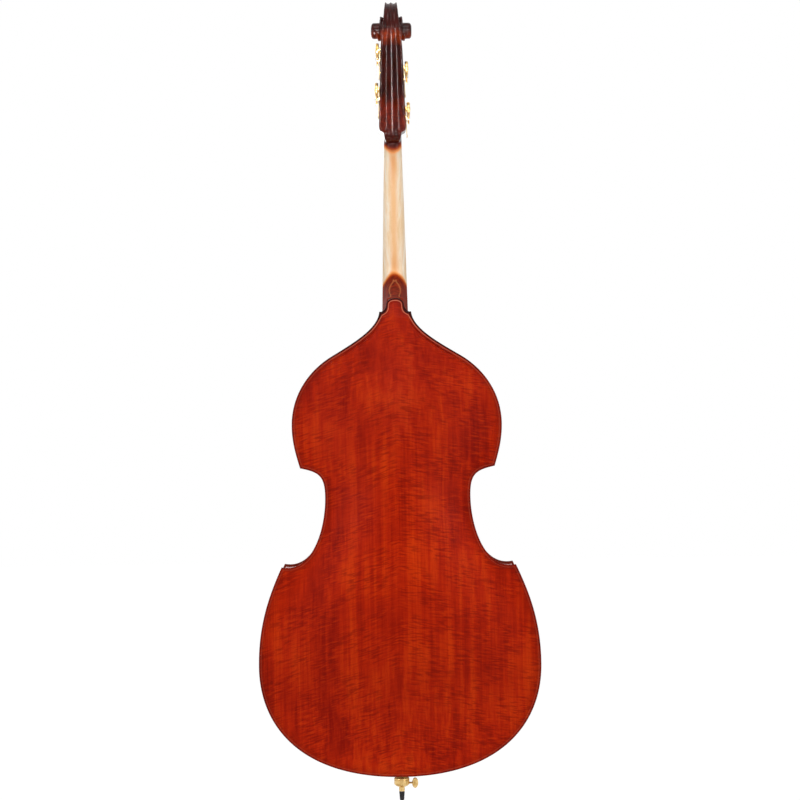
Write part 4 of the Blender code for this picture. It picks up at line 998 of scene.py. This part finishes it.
def fluted(half_width, depth, flute):
    """Back line of the pegbox: rounded edge, a flute, and the ridge on the centre."""
    line = [(half_width, depth - 5)]
    for a in np.radians((25, 50, 72)):
        line.append((half_width * (0.84 + 0.16 * math.cos(a)), depth - 5 + 5 * math.sin(a)))
    for u in np.linspace(1, 0, 10):
        across = 2 * max(0.0, u * 1.12 - 0.12) - 1  # -1 to 1 over the flute
        dip = flute * (1 - abs(across) ** 1.4) + 0.6 * (1 - u) ** 3
        line.append((half_width * 0.84 * u, depth - dip))
    return line


def pegbox_section(dz, half_width, front_y, back_y, flute):
    """One level of the pegbox, solid for now."""
    right = [(half_width, front_y), (half_width, front_y + 0.5 * (back_y - front_y))]
    right += fluted(half_width, back_y, flute)
    left = [(-x, y) for x, y in reversed(right[:-1])]
    return [(x, y, NUT_Z + dz) for x, y in right + left]


# height above the nut, half width, depth of its front and back, depth of its flutes (mm)
PEGBOX = np.array(
    (
        (-9, 17, glue_face(NUT_Z - 9), GLUE_Y + 34, 1),
        (-5, 19, glue_face(NUT_Z - 5), GLUE_Y + 52, 3),
        (2, 20.5, glue_face(NUT_Z + 2), GLUE_Y + 61, 5.5),
        (11, 21.5, glue_face(NUT_Z + 11), cheek_back(11), 7),
        (16, 31, glue_face(NUT_Z + 16), cheek_back(16), 7.5),
        (24, 33, cheek_front(24), cheek_back(24), 8),
        (60, cheek_half(60), cheek_front(60), cheek_back(60), 8.5),
        (115, cheek_half(115), cheek_front(115), cheek_back(115), 9),
        (205, 26.5, cheek_front(205), cheek_back(205), 8),
        (228, 24.3, GLUE_Y + 110, cheek_back(228), 6),
        (250, 21.3, GLUE_Y + 118, cheek_back(250) - 0.8, 4.5),
    )
)
heights = [-9, -7, -5, -1, 2, 6, 9, 11, 13, 16, 19, 24]
heights += [*range(30, 206, 8), 212, 220, 228, 239, 250]
rows = []
for dz in heights:
    row = [np.interp(dz, PEGBOX[:, 0], PEGBOX[:, c]) for c in range(1, 5)]
    rows.append(pegbox_section(dz, *row))
pegbox = skinned("pegbox", rows)
print("pegbox:", len(pegbox.data.polygons), "faces")

# %% [markdown]
# ## The scroll
# The scroll is a volute: two turns of a spiral whose radius halves with each turn, while the
# turns stand further and further out to the sides, up to the round eye. A spin tool makes
# only even turns, so the volute is skinned like the neck: one slice of it, from the axis out
# to the fluted crest, is repeated every few degrees, wider and shorter each time. The inner
# turn's slices run through the outer turn's, and that is mended when all is made one.

# %% Volute
EYE_Y, EYE_Z = GLUE_Y + 92, NUT_Z + 253  # the spiral's axis


def volute_radius(turn):
    """Radius of the spiral, turn being in degrees from where it leaves the pegbox."""
    if turn < 0:
        return 73 + turn * 0.35
    return 73 - turn * 4 / 90 if turn < 90 else 69 * 0.5 ** ((turn - 90) / 360)


def volute_half(turn):
    """Half width along the spiral: narrow on top, widest at the eye."""
    turns = (-20, 0, 30, 60, 90, 120, 180, 270, 360, 450, 540, 630, 720)
    widths = (24.4, 21, 17.5, 15, 14, 13.8, 15.5, 21, 26.5, 28, 30, 33, 36)
    return float(np.interp(turn, turns, widths))


def volute_slice(turn):
    """One slice, from the axis to the crest: hollowed sides and two flutes on top."""
    r, w = volute_radius(turn), volute_half(turn)
    hidden = volute_radius(turn + 360)
    line = [(4.0, w), (hidden * 0.8, w)]
    for s in np.linspace(0.12, 0.92, 7):
        line.append((hidden + (r - 1.5 - hidden) * s, w - 2.4 * math.sin(math.pi * s) ** 1.2))
    line += [(r - 1.4, w), (r - 0.5, w - 0.5), (r, w - 1.6)]
    for u in np.linspace(0.86, 0, 9):
        dip = 4.4 * math.sin(math.pi * min(1.0, u * 1.13)) ** 1.3 + 0.5 * (1 - u) ** 3
        line.append((r - dip, w * u))
    line += [(a, -x) for a, x in reversed(line[:-1])]
    t = math.radians(turn)
    return [(x, EYE_Y + a * math.cos(t), EYE_Z + a * math.sin(t)) for a, x in line]


volute = skinned("volute", [volute_slice(t) for t in range(-20, 701, 5)])
profile = [(0, 98), (11, 98), (15, 97), (18, 95), (19.5, 92)]
profile += [(19.5, 6), (18, 3), (15, 1), (11, 0), (0, 0)]
eye = lathe("eye", profile, 64, (-49, EYE_Y, EYE_Z), "X")
print("volute:", len(volute.data.polygons), "faces")

# %% [markdown]
# ## One block again
# The forms overlap, so they are joined and remeshed with voxels of 1.7 mm: that keeps only
# the outer skin, and its slight rounding is what gouge, scraper and sandpaper leave. A boolean
# union would keep knife-sharp seams. The pegbox is then hollowed, and the rollers' holes are
# drilled through its cheeks.

# %% Join, remesh and hollow


def as_one(name, *parts, voxel, rounds):
    """Joins overlapping solids into one skin, and eases the voxels' steps."""
    obj = joined(name, *parts)
    obj.data.remesh_voxel_size = voxel * MM
    obj.data.use_remesh_preserve_volume = True
    bpy.ops.object.voxel_remesh()
    bpy.ops.object.modifier_add(type="SMOOTH")
    obj.modifiers[-1].factor, obj.modifiers[-1].iterations = 0.5, rounds
    return apply_all(obj)


# side, string, and height of the roller above the nut
MACHINES = ((-1, "e", 49.0), (1, "g", 94.0), (-1, "a", 142.0), (1, "d", 183.0))


def axis_of(dz):
    """Depth and height of a string roller's axis."""
    return GLUE_Y + 42 + (dz - 43) * 0.47, NUT_Z + dz


# the chin: below each flute of the pegbox, a round lobe
lobes, lobe_size = [], {"segments": 32, "ring_count": 20, "radius": 13 * MM}
for x in (-9.2, 9.2):
    nothing()
    place = (x * MM, (GLUE_Y + 53.2) * MM, (NUT_Z + 12 + BODY_UP) * MM)
    bpy.ops.mesh.primitive_uv_sphere_add(**lobe_size, location=place)
    lobes.append(bpy.context.object)
neck = as_one("neck_and_scroll", neck, pegbox, volute, eye, *lobes, voxel=1.7, rounds=8)
rows = []
cavity = ((-60, 10), (44, 10), (51, 18), (121, 188), (116, 198), (60, 198), (-30, 60))
for side in (-1, 1):  # the cheeks are left 13 mm thick
    row = [(side * (cheek_half(z) - 13), GLUE_Y + y, NUT_Z + z) for y, z in cavity]
    rows.append(row)
hollow = soften(skinned("hollow", rows), 3, 3)
carve(neck, hollow)
for side, letter, dz in MACHINES:
    carve(neck, drill(5, -60, 60, 24, (0, *axis_of(dz)), "X"))
shade(neck, 50)
print("one block:", len(neck.data.polygons), "faces")

# %% Painted highlights on the heel
# painted highlights along the heel's crest lines and at the tip of its facet: 1 on a line, 0 beside it
spots = np.array([v.co for v in neck.data.vertices]) / MM - (0, 0, BODY_UP)
across, height = np.abs(spots[:, 0]), spots[:, 2]
beside = np.abs(across - [heel_facet(z) for z in height])
under_tip = np.where(across < 5, np.abs(height - 1186), 99)  # the facet ends in a tip there
deep = [glue_face(z) + neck_depth(z) - 12 for z in height]
on_facet = (spots[:, 1] > deep) & (height > 1141) & (height < 1190)
painted_light = np.clip(1.3 - np.minimum(beside, under_tip) / 2.2, 0, 1)
worn = neck.data.attributes.new("worn", "FLOAT", "POINT")
worn.data.foreach_set("value", np.where(on_facet, painted_light, 0))
seat(neck, "instrument", "neck_scroll", "maple_neck", neck_look)
print("neck and scroll:", len(neck.data.polygons), "faces")

# %% [markdown]
# ## Fingerboard, nut and saddle
# These three are ebony, because strings wear softer wood away. The fingerboard is a loft whose
# top is an arc of 65 mm radius; under its free end it is hollowed, to save weight. An arc cut
# from a cylinder would be as round, but wouldn't taper with the neck.

# %% Fingerboard, nut and saddle
GAP = 0.3  # every glue line keeps this clearance
BOARD_LENGTH, BOARD_RADIUS = 849.0, 65.0
STRING_NUT_Y, STRING_BRIDGE_Y, BRIDGE_Z = -99.5, -290.0, 488.0


def board_section(z):
    """One level of the fingerboard: arched over the strings' side, flat or hollow below."""
    share = (NUT_Z - z) / BOARD_LENGTH
    thick = np.interp(share, (0, 1), (17, 27)) - 1.2 * math.sin(math.pi * share)
    half_width, low = neck_half(z), glue_face(z) - GAP
    hollow = float(np.interp(z, (1040, 1078), (9, 0)))
    xs = np.linspace(-half_width, half_width, 25)
    top = [(x, low - thick + BOARD_RADIUS - math.sqrt(BOARD_RADIUS**2 - x**2), z) for x in xs]
    under = [(x, low - hollow * max(0, 1 - (x / half_width / 0.86) ** 4), z) for x in xs[::-1]]
    return top + under


levels = [NUT_Z - GAP, *range(1500, 1080, -30), 1078, 1065, 1052, 1040, *range(1010, 690, -30)]
board = skinned("fingerboard", [board_section(z) for z in (*levels, NUT_Z - BOARD_LENGTH)])
shade(soften(board, 0.8, 2, 50), 40)
seat(board, "instrument", "fingerboard", "ebony", ebony)


def string_sag(x, wide):
    """How far the outer strings lie behind the middle; wide is 0 at the nut, 1 at the bridge."""
    radius = 65 + 21 * wide
    return radius - math.sqrt(radius**2 - x**2)


def nut_section(z, drop):
    """One level of the nut, its top lowered by drop as it rounds off."""
    top, half_width = STRING_NUT_Y + 1.7 + drop, neck_half(NUT_Z)
    xs = np.linspace(-half_width, half_width, 25)
    low = glue_face(z) - GAP
    over = [(x, top + string_sag(x, 0), z) for x in xs]
    return [(-half_width, low, z), *over, (half_width, low, z)]


shape = ((0, 0), (2, 0.05), (4, 0.5), (6, 1.6), (7.2, 3), (8, 5))
nut = skinned("nut", [nut_section(NUT_Z + dz, drop) for dz, drop in shape])
shade(soften(nut, 0.5, 2, 50), 40)
seat(nut, "instrument", "nut", "ebony", ebony)

profile = [(-121.9, -1.5), (-100.3, -1.5), (-100.3, 10), (-118, 10)]
saddle = sawn("saddle", profile, -30, 30, "X")
shade(soften(saddle, 1.8, 4, 50), 40)
seat(saddle, "instrument", "saddle", "ebony", ebony)
print("fingerboard:", len(board.data.polygons), "faces")

# %% [markdown]
# ## Bridge
# The bridge is sawn from a wedge of bare maple: two feet, a waist, and a heart and two kidneys
# cut out of it. Its outline is a smooth curve through a few points, because a fretsaw makes no
# straight lines either; it is thickened first, and then tapered towards the strings.


# %% Bridge
def closed_curve(points, steps):
    """A smooth closed curve through a few points."""
    p = np.array([points[-1], *points, points[0], points[1]], float)
    return smooth_path(p, steps)[steps : -2 * steps]


side_line = [(58.5, 281), (60, 270), (57, 260), (46, 246), (42, 226), (50, 205), (64, 190)]
side_line += [(70, 172), (76, 152), (84, 141), (86, 134)]
line = smooth_path(side_line, 5)
feet = [(x, 106.1 + arch(x, BRIDGE_Z, TOP_ARCH)) for x in np.linspace(86, 38, 12)]
arch_line = smooth_path([(39, 141), (37, 150), (26, 160), (0, 165)], 5)
right = [*line, *feet, *arch_line[:-1]]
crown = [(x, 288.3 - string_sag(x, 1)) for x in np.linspace(-56, 56, 21)]
ring = np.array([*crown, *right, (0, 165), *((-x, v) for x, v in reversed(right))])
bridge = sawn("bridge", ring * (1, -1), BRIDGE_Z - 11, BRIDGE_Z + 11, "Z")
heart = [(0, 203), (9, 211), (16, 221), (16, 231), (9, 236), (2, 232)]
heart += [(0, 229), (-2, 232), (-9, 236), (-16, 231), (-16, 221), (-9, 211)]
kidney = [(29, 207), (39, 197), (53, 187), (59, 176), (50, 171), (35, 180), (24, 194)]
for hole in (heart, kidney, [(-x, v) for x, v in kidney]):
    shape = closed_curve(hole, 5) * (1, -1)
    carve(bridge, sawn("hole", shape, BRIDGE_Z - 20, BRIDGE_Z + 20, "Z"))
for v in bridge.data.vertices:  # 22 mm thick at the feet, 7 mm under the strings
    share = min(1.0, max(0.0, (-v.co.y / MM - 122) / 170))
    level = (BRIDGE_Z + BODY_UP) * MM
    v.co.z = level + (v.co.z - level) * (1 - share * 15 / 22)
shade(soften(bridge, 0.7, 2, 50), 40)
seat(bridge, "instrument", "bridge", "maple_raw", bridge_maple)
print("bridge:", len(bridge.data.polygons), "faces")

# %% [markdown]
# ## Tailpiece
# The ebony tailpiece holds the strings' ends, each in a hole drilled through it. Its face is
# arched like the fingerboard, so it is a loft of the same kind, wider towards the bridge. A
# bent sheet would not thin out towards its edges.

# %% Tailpiece
TAIL_TOP, TAIL_FOOT = (345.0, -240.0), (48.0, -140.0)


def tail_face(z):
    """Depth of the tailpiece's face along its middle."""
    return float(np.interp(z, (TAIL_FOOT[0], TAIL_TOP[0]), (TAIL_FOOT[1], TAIL_TOP[1])))


def tail_section(z):
    """One level of the tailpiece."""
    keys = (48, 80, 180, 300, 345)
    half_width = np.interp(z, keys, (27, 29, 35, 46, 49))
    sag, thick = np.interp(z, keys, (5, 5, 7, 9, 10)), np.interp(z, keys, (11, 10, 9, 9, 8))
    xs = np.linspace(-1, 1, 21)
    face = [(half_width * u, tail_face(z) + sag * u * u, z) for u in xs]
    under = [(0.94 * x, y + thick, z) for x, y, z in reversed(face)]
    return face + under


tail = skinned("tailpiece", [tail_section(z) for z in (48, 60, 80, *range(105, 345, 24), 345)])
HOLES_Z = 322
# name, thickness, and place across the nut, the bridge and the tailpiece (mm)
STRINGS = (
    ("string_e", 2.8, -15, -42, -33), ("string_a", 2.2, -5, -14, -11),
    ("string_d", 1.8, 5, 14, 11), ("string_g", 1.4, 15, 42, 33),
)
y = tail_face(HOLES_Z)
for name, wide, at_nut, at_bridge, at_tail in STRINGS:
    carve(tail, drill(3.2, y - 20, y + 30, 20, (at_tail, 0, HOLES_Z), "Y"))
shade(soften(tail, 1.6, 3, 50), 40)
seat(tail, "instrument", "tailpiece", "ebony", ebony)
print("tailpiece:", len(tail.data.polygons), "faces")

# %% [markdown]
# ## Strings and tail gut
# The strings run from the tailpiece over bridge and nut into the pegbox, where each winds twice
# round its roller. The tailpiece hangs on a thick cord, the tail gut, which runs over the saddle
# and round the endpin's collar. Anything of one thickness that follows a path is drawn as a
# curve with a round bevel and made a mesh, which is simpler than a loft with turning sections.


# %% Strings and tail gut
def cord(name, path, radius, sides=12):
    """A cord of one thickness along a path (mm): a curve with a round bevel, made a mesh."""
    drawn = bpy.data.curves.new(name, "CURVE")
    drawn.dimensions, drawn.bevel_depth, drawn.use_fill_caps = "3D", radius * MM, True
    drawn.bevel_resolution = sides // 4
    line = drawn.splines.new("POLY")
    line.points.add(len(path) - 1)
    for point, (x, y, z) in zip(line.points, path):
        point.co = (x * MM, y * MM, (z + BODY_UP) * MM, 1)
    obj = bpy.data.objects.new(name, drawn)
    bpy.context.scene.collection.objects.link(obj)
    alone(obj)
    bpy.ops.object.convert(target="MESH")
    return tidy(bpy.context.object, 0.001)


MACHINE_LEAN = math.radians(6)
ROLLER_R = 8.0


def wound(dz, place, wide):
    """From the nut to the roller's tangent, then two turns round it."""
    y, z = axis_of(dz)
    radius = ROLLER_R + GAP * 1.6 + wide / 2
    start_y, start_z = STRING_NUT_Y + string_sag(place, 0), NUT_Z + 8
    aim = math.atan2(z - start_z, y - start_y)
    aim += math.asin(radius / math.hypot(y - start_y, z - start_z))
    for k in range(65):
        angle = aim + math.pi / 2 - 2 * math.pi * k / 32
        x = place - math.copysign(1, place) * (wide + 0.5) * k / 32
        yield x, y + radius * math.cos(angle), z + radius * math.sin(angle)


for name, wide, at_nut, at_bridge, at_tail in STRINGS:
    dz = next(dz for side, letter, dz in MACHINES if name.endswith(letter))
    nut_y = STRING_NUT_Y + string_sag(at_nut, 0) + 1.4 - wide / 2
    bridge_y = STRING_BRIDGE_Y + string_sag(at_bridge, 1) + 1.4 - wide / 2
    sag = 10 * (at_tail / 49) ** 2
    path = [
        (at_tail, tail_face(HOLES_Z) + sag + 5, HOLES_Z),
        (at_tail, tail_face(HOLES_Z) + sag - 2.2, HOLES_Z + 0.3),
        (at_tail, tail_face(345) + sag - 2.6, 346),
        (at_bridge, bridge_y, BRIDGE_Z - 4),
        (at_bridge, bridge_y, BRIDGE_Z + 4),
        (at_nut, nut_y, NUT_Z - 0.5),
        (at_nut, nut_y, NUT_Z + 8.5),
        *wound(dz, at_nut, wide),
    ]
    string = cord(name, path, wide / 2)
    shade(string, 50)
    seat(string, "instrument", name, "string_steel", string_wrap)

foot_y = tail_face(48) + 5.5
slope = (TAIL_TOP[1] - TAIL_FOOT[1]) / (TAIL_TOP[0] - TAIL_FOOT[0])
one_side = [(9, foot_y + slope * 25, 73), (9, foot_y, 48), (10, -123.9, 10), (10, -123.9, -2.6)]
one_side += [(10, -121.8, -5.2), (11, -112, -5.6)]
# round the collar's neck, 16.9 mm from its axis
turn = [(16.9 * math.cos(a), 16.9 * math.sin(a), -8) for a in np.linspace(0, math.pi, 33)]
path = [*one_side, *turn, *((-x, y, z) for x, y, z in reversed(one_side))]
gut = cord("tail_gut", path, 1.6, 16)
shade(gut, 60)
seat(gut, "instrument", "tail_gut", "steel", steel)
print("strings and tail gut:", len(string.data.polygons), "and", len(gut.data.polygons), "faces")

# %% [markdown]
# ## Worm machines: plate and wheel
# Each string is tuned by a worm and a wheel of twenty teeth: twenty turns of the key for one
# of the roller. A machine is made once, lying at the origin, as seen from outside the cheek,
# and then copied to its place, mirrored on the other cheek. Its plate and wheel are cut from
# sheet brass, so they are outlines given a thickness, then drilled and chamfered.

# %% Machine plate
# the gears' middle stands this far off the cheek, and the worm this far above the wheel (mm)
GEAR_OUT, WORM_UP, TEETH = 6.5, 19.0, 20


def ground(obj, angle=40):
    """Fixes a piece made at the origin, which the loft lifted with the body."""
    obj.data.transform(Matrix.Translation((0, 0, -BODY_UP * MM)))
    return shade(obj, angle)


def rounded(points, radius, steps=5):
    """An outline with its corners rounded by arcs."""
    p = np.array(points, float)
    ring = []
    for k in range(len(p)):
        a, b, c = p[k - 1], p[k], p[(k + 1) % len(p)]
        reach_a, reach_c = np.linalg.norm(a - b), np.linalg.norm(c - b)
        reach = min(radius, reach_a * 0.45, reach_c * 0.45)
        start, end = b + (a - b) / reach_a * reach, b + (c - b) / reach_c * reach
        for t in np.linspace(0, 1, steps):
            ring.append((1 - t) ** 2 * start + 2 * (1 - t) * t * b + t**2 * end)
    return ring


outline = [(15, 27), (8, 29), (-8, 29), (-15, 27), (-15, 12), (-13, -2), (-13, -10), (-19, -27)]
outline += [(-25, -44), (-22, -50), (-16, -50), (-11, -46), (2, -15), (12, -7), (15, 6)]
sheet = sawn("sheet", rounded(outline, 4), 0.3, 1.9, "X")
lug = rounded(oblong(0.7, 13.5, 11.5, 24.5), 3)
lugs = [sawn("lug", lug, middle - 2, middle + 2, "Y") for middle in (-12.5, 12.5)]
plate_master = carve(sheet, *lugs, operation="UNION")
carve(plate_master, drill(2.5, -30, 30, 24, (GEAR_OUT, 0, WORM_UP), "Y"))
carve(plate_master, drill(5, -5, 20, 32, axis="X"))
soften(plate_master, 0.3, 2, 40)
screws = []
for y, z in ((11, 24), (-11, 24), (-9, -8), (-19.5, -45)):
    dome = [(0, 0.6), (2.6, 0.6), (2.6, 1.9), (2.2, 2.5), (1.3, 2.95), (0, 3.1)]
    slot = sawn("slot", oblong(y - 3, z - 0.35, y + 3, z + 0.35), 2.5, 4, "X")
    screws.append(carve(lathe("screw", dome, 20, (0, y, z), "X"), slot))
plate_master = ground(joined("machine_plate", plate_master, *screws))
slant = (26.5 - 33) / (205 - 24)
for v in plate_master.data.vertices:  # the plate follows the cheek's slant
    if v.co.x < 3.2 * MM:
        v.co.x += slant * (v.co.z - math.tan(MACHINE_LEAN) * v.co.y) + 0.02 * MM
print("plate:", len(plate_master.data.polygons), "faces")

# %% Worm wheel
ring = []
for k in range(TEETH):
    middle = math.pi / 2 + 2 * math.pi / TEETH * (k + 0.5)
    flank = ((14.4, -0.27), (14.9, -0.235), (15.6, -0.185), (16.2, -0.125), (16.4, -0.09))
    for r, half_step in (*flank, *((r, -h) for r, h in reversed(flank))):
        angle = middle + half_step * 2 * math.pi / TEETH
        ring.append((r * math.cos(angle), r * math.sin(angle)))
wheel_master = sawn("worm_wheel", ring, GEAR_OUT - 2.25, GEAR_OUT + 2.25, "X")
carve(wheel_master, drill(3.9, 0, 20, 32, axis="X"))
groove = [(5.6, 9.5), (5.6, 8.0), (6.2, 7.8), (11.2, 7.8), (11.8, 8.0), (11.8, 9.5), (5.6, 9.5)]
carve(wheel_master, lathe("groove", groove, 48, axis="X", capped=False))
ground(soften(wheel_master, 0.2, 2, 40))
print("wheel:", len(wheel_master.data.polygons), "faces")

# %% [markdown]
# ## Key with its worm
# The key is a turned shaft with a flat grip at its end and a worm cut into its middle. The
# worm is the one special part: a section swept along a helix, whose pitch is the wheel's, so
# that the teeth mesh. The Screw modifier would leave its ends cut off square, while a row of
# sections can fade out. The grip is an oval that is smaller towards both of its faces.

# %% Key with its worm
KEY_REACH = 58.0
PITCH = 2 * math.pi * 15.5 / TEETH  # one tooth of the wheel, along its pitch circle


def worm_thread(name):
    """A blunt thread swept along a helix; it fades out at both ends."""
    rows, turns, per_turn = [], 3, 28
    for k in range(turns * per_turn + 1):
        phase = 2 * math.pi * (k / per_turn - turns / 2)
        fade = min(1.0, k / 15, (turns * per_turn - k) / 15)
        top = 2.05 + 2.2 * max(0.06, fade)
        row = []
        for r, push in ((1.85, -1), (top - 0.25, -0.56), (top, -0.4), (top, 0.4),
                        (top - 0.25, 0.56), (1.85, 1)):
            y = PITCH * phase / (2 * math.pi) + push * 0.95
            angle = phase - math.pi / 2
            row.append((GEAR_OUT + r * math.cos(angle), y, WORM_UP + r * math.sin(angle)))
        rows.append(row)
    return skinned(name, rows)


def grip(name, oval, centre, rim, axis, off=0.0):
    """A flat grip: an oval, made smaller by the steps of its rim towards both faces."""
    steps = [(-push, size) for push, size in rim]
    steps += [(push, size) for push, size in reversed(rim) if push > 0]
    return stacked(name, [(off + push, oval * size + centre) for push, size in steps], axis)


profile = [(0, 46), (3, 45), (3.3, 42), (3.6, 39), (3.1, 37), (2.3, 34), (2.2, 22.5), (2.6, 21.4)]
profile += [(4, 20.6), (4, 19.4), (3.5, 18.9), (3.5, 16.1), (4, 15.6), (4, 15), (2.2, 15)]
profile += [(2.2, 9.8), (2.35, 9.8), (2.35, -9.8), (2.2, -9.8), (2.2, -16.2), (1.9, -16.5)]
profile += [(0, -16.5)]
shaft = lathe("shaft", profile, 32, (GEAR_OUT, 0, WORM_UP), "Y")
a, b = circle(48)
oval = np.stack([18 * a * (0.9 + 0.108 * (2 * a**2 - 1)), 17.5 * b], axis=1)
rim = ((4, 0.8), (3.75, 0.9), (3.2, 0.96), (2.2, 1))
paddle = grip("paddle", oval, (KEY_REACH, WORM_UP), rim, "X", GEAR_OUT)
key_master = ground(joined("worm_key", shaft, worm_thread("thread"), paddle))
print("key:", len(key_master.data.polygons), "faces")

# %% [markdown]
# ## Rollers, and every machine in its place
# The pegbox narrows towards the scroll, so the four steel rollers differ in length, and each is
# turned for its own place. Plates, wheels and keys are copies of one master. The string that
# winds on a roller pulls its end against the cheek, so the ends are turned down to journals.


# %% Roller, and a copy of everything on its cheek
def roller(name, near):
    """A steel roller for the place where the cheek is near mm off the centre line."""
    inside, head = near - 13.6, 11.25
    profile = [(0, near + head), (2.4, near + head), (3.2, near + 10.7), (3.4, near + 10.1)]
    profile += [(3.4, near + 3.95), (4.6, near + 3.95), (4.6, inside), (7.6, inside)]
    profile += [(8, inside - 0.4), (8, 0.4 - inside), (7.6, -inside), (4.6, -inside)]
    profile += [(4.6, 3.4 - near), (4.2, 3 - near), (0, 3 - near)]
    obj = lathe(name, profile, 40, (-near, 0, 0), "X")
    return carve(obj, sawn("slit", oblong(-5, -0.5, 5, 0.5), head - 1.2, head + 2, "X"))


for side, letter, dz in MACHINES:
    y, z = axis_of(dz)
    mirror = Matrix.Diagonal((side, 1, 1, 1))
    place = Matrix.Translation((cheek_half(dz) * MM, y * MM, (z + BODY_UP) * MM))
    matrix = mirror @ place @ Matrix.Rotation(-MACHINE_LEAN, 4, "X")
    roller_here = ground(roller("roller", cheek_half(dz)))
    parts = (
        (plate_master, f"machine_plate_{letter}", "instrument", "brass", brass),
        (wheel_master, f"worm_wheel_{letter}", f"roller_{letter}", "brass", brass),
        (key_master, f"worm_key_{letter}", f"key_{letter}", "brass", brass),
        (roller_here, f"string_roller_{letter}", f"roller_{letter}", "steel", steel),
    )
    for master, name, body, slot, look in parts:
        seat(twin(master, name, matrix), body, name, slot, look)
    bpy.data.objects.remove(roller_here, do_unlink=True)
for master in (plate_master, wheel_master, key_master):
    bpy.data.objects.remove(master, do_unlink=True)
print("four machines in place")

# %% [markdown]
# ## The endpin
# The instrument stands on a steel rod that slides in a brass collar and is held by a
# thumbscrew; a rubber tip keeps it from slipping. All but the thumbscrew's wing are turned on
# a lathe, so each is a profile spun round its axis, with its small chamfers in the profile.
# Bevelling a plain cylinder instead would round every edge by the same amount.

# %% Collar and rod
SCREW_Z = -25.7
profile = [(13, 52), (14.4, 5.5), (18, 5.5), (18.5, 5), (19, -3), (18.6, -3.6), (15.4, -5.3)]
profile += [(15, -5.7), (15, -10.7), (15.4, -11.2), (17.6, -13.2), (18.3, -13.9), (18.5, -14.6)]
profile += [(18.5, -18), (18.1, -18.4), (18.1, -19.2), (18.5, -19.6), (18.5, -27.5), (18.1, -28.5)]
profile += [(16, -31), (13, -33), (9.5, -34.6), (7.4, -35.3), (6.8, -36), (6.8, -45.3)]
profile += [(6.4, -45.7), (5.25, -45.7), (5.25, 52), (13, 52)]
collar = lathe("collar", profile, 72, capped=False)
carve(collar, drill(2.6, -30, 0, 24, (0, 0, SCREW_Z), "X"))
shade(collar, 40)
seat(collar, "instrument", "endpin_collar", "brass", brass)

profile = [(0, 330), (4, 330), (4.5, 329.7), (5, 329)]
for k in range(8):  # shallow grooves where the thumbscrew bites
    z = 300 - 34 * k
    profile += [(5, z + 1.4), (4.6, z + 0.9), (4.6, z - 0.9), (5, z - 1.4)]
profile += [(5, -59.6), (4.6, -60), (0, -60)]
rod = shade(lathe("rod", profile, 40), 40)
seat(rod, "endpin", "endpin_rod", "steel", steel)
print("collar:", len(collar.data.polygons), "rod:", len(rod.data.polygons), "faces")

# %% Rubber tip and thumbscrew
profile = [(5.3, -46.2), (6.2, -46.2), (6.5, -46.5), (6.7, -48)]
for z in (-50, -53, -56, -59):
    r = 6.7 - 1.2 * (-48 - z) / 15
    profile += [(r, z + 0.6), (r - 0.5, z + 0.2), (r - 0.5, z - 0.2), (r, z - 0.6)]
profile += [(5.5, -63), (5.1, -65.4), (4.6, -66.8), (3.8, -67.8), (3, -68), (0, -68)]
profile += [(0, -60.3), (5.3, -60.3), (5.3, -46.2)]
tip = shade(lathe("tip", profile, 48, capped=False), 40)
seat(tip, "endpin", "endpin_tip", "rubber", rubber)

profile = [(0, -5.6), (1.9, -5.6), (2.3, -6), (2.3, -24), (3.4, -25), (3.4, -27), (0, -27)]
stem = lathe("stem", profile, 32, (0, 0, SCREW_Z), "X")
a, b = circle(40)
rim = ((2, 0.84), (1.85, 0.92), (1.3, 0.98), (0, 1))
wing = grip("wing", np.stack([7.4 * a, 12.6 * b], axis=1), (-32, SCREW_Z), rim, "Y")
thumb = shade(joined("thumbscrew", stem, wing), 40)
seat(thumb, "thumbscrew", "endpin_thumbscrew", "brass", brass)
print("tip:", len(tip.data.polygons), "thumbscrew:", len(thumb.data.polygons), "faces")

# %% [markdown]
# ## Inside the body
# Linings, blocks, bass bar and sound post are planed spruce and stay as they were designed:
# flat-sided sticks need no finer shape. They only get the finish of bare wood.

# %% Bare wood inside
kept = [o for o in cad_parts.values() if not o.hide_render]
for obj in kept:
    for k in range(len(obj.material_slots)):
        obj.material_slots[k].material = spruce_raw
print("left as designed:", len(kept), "pieces")
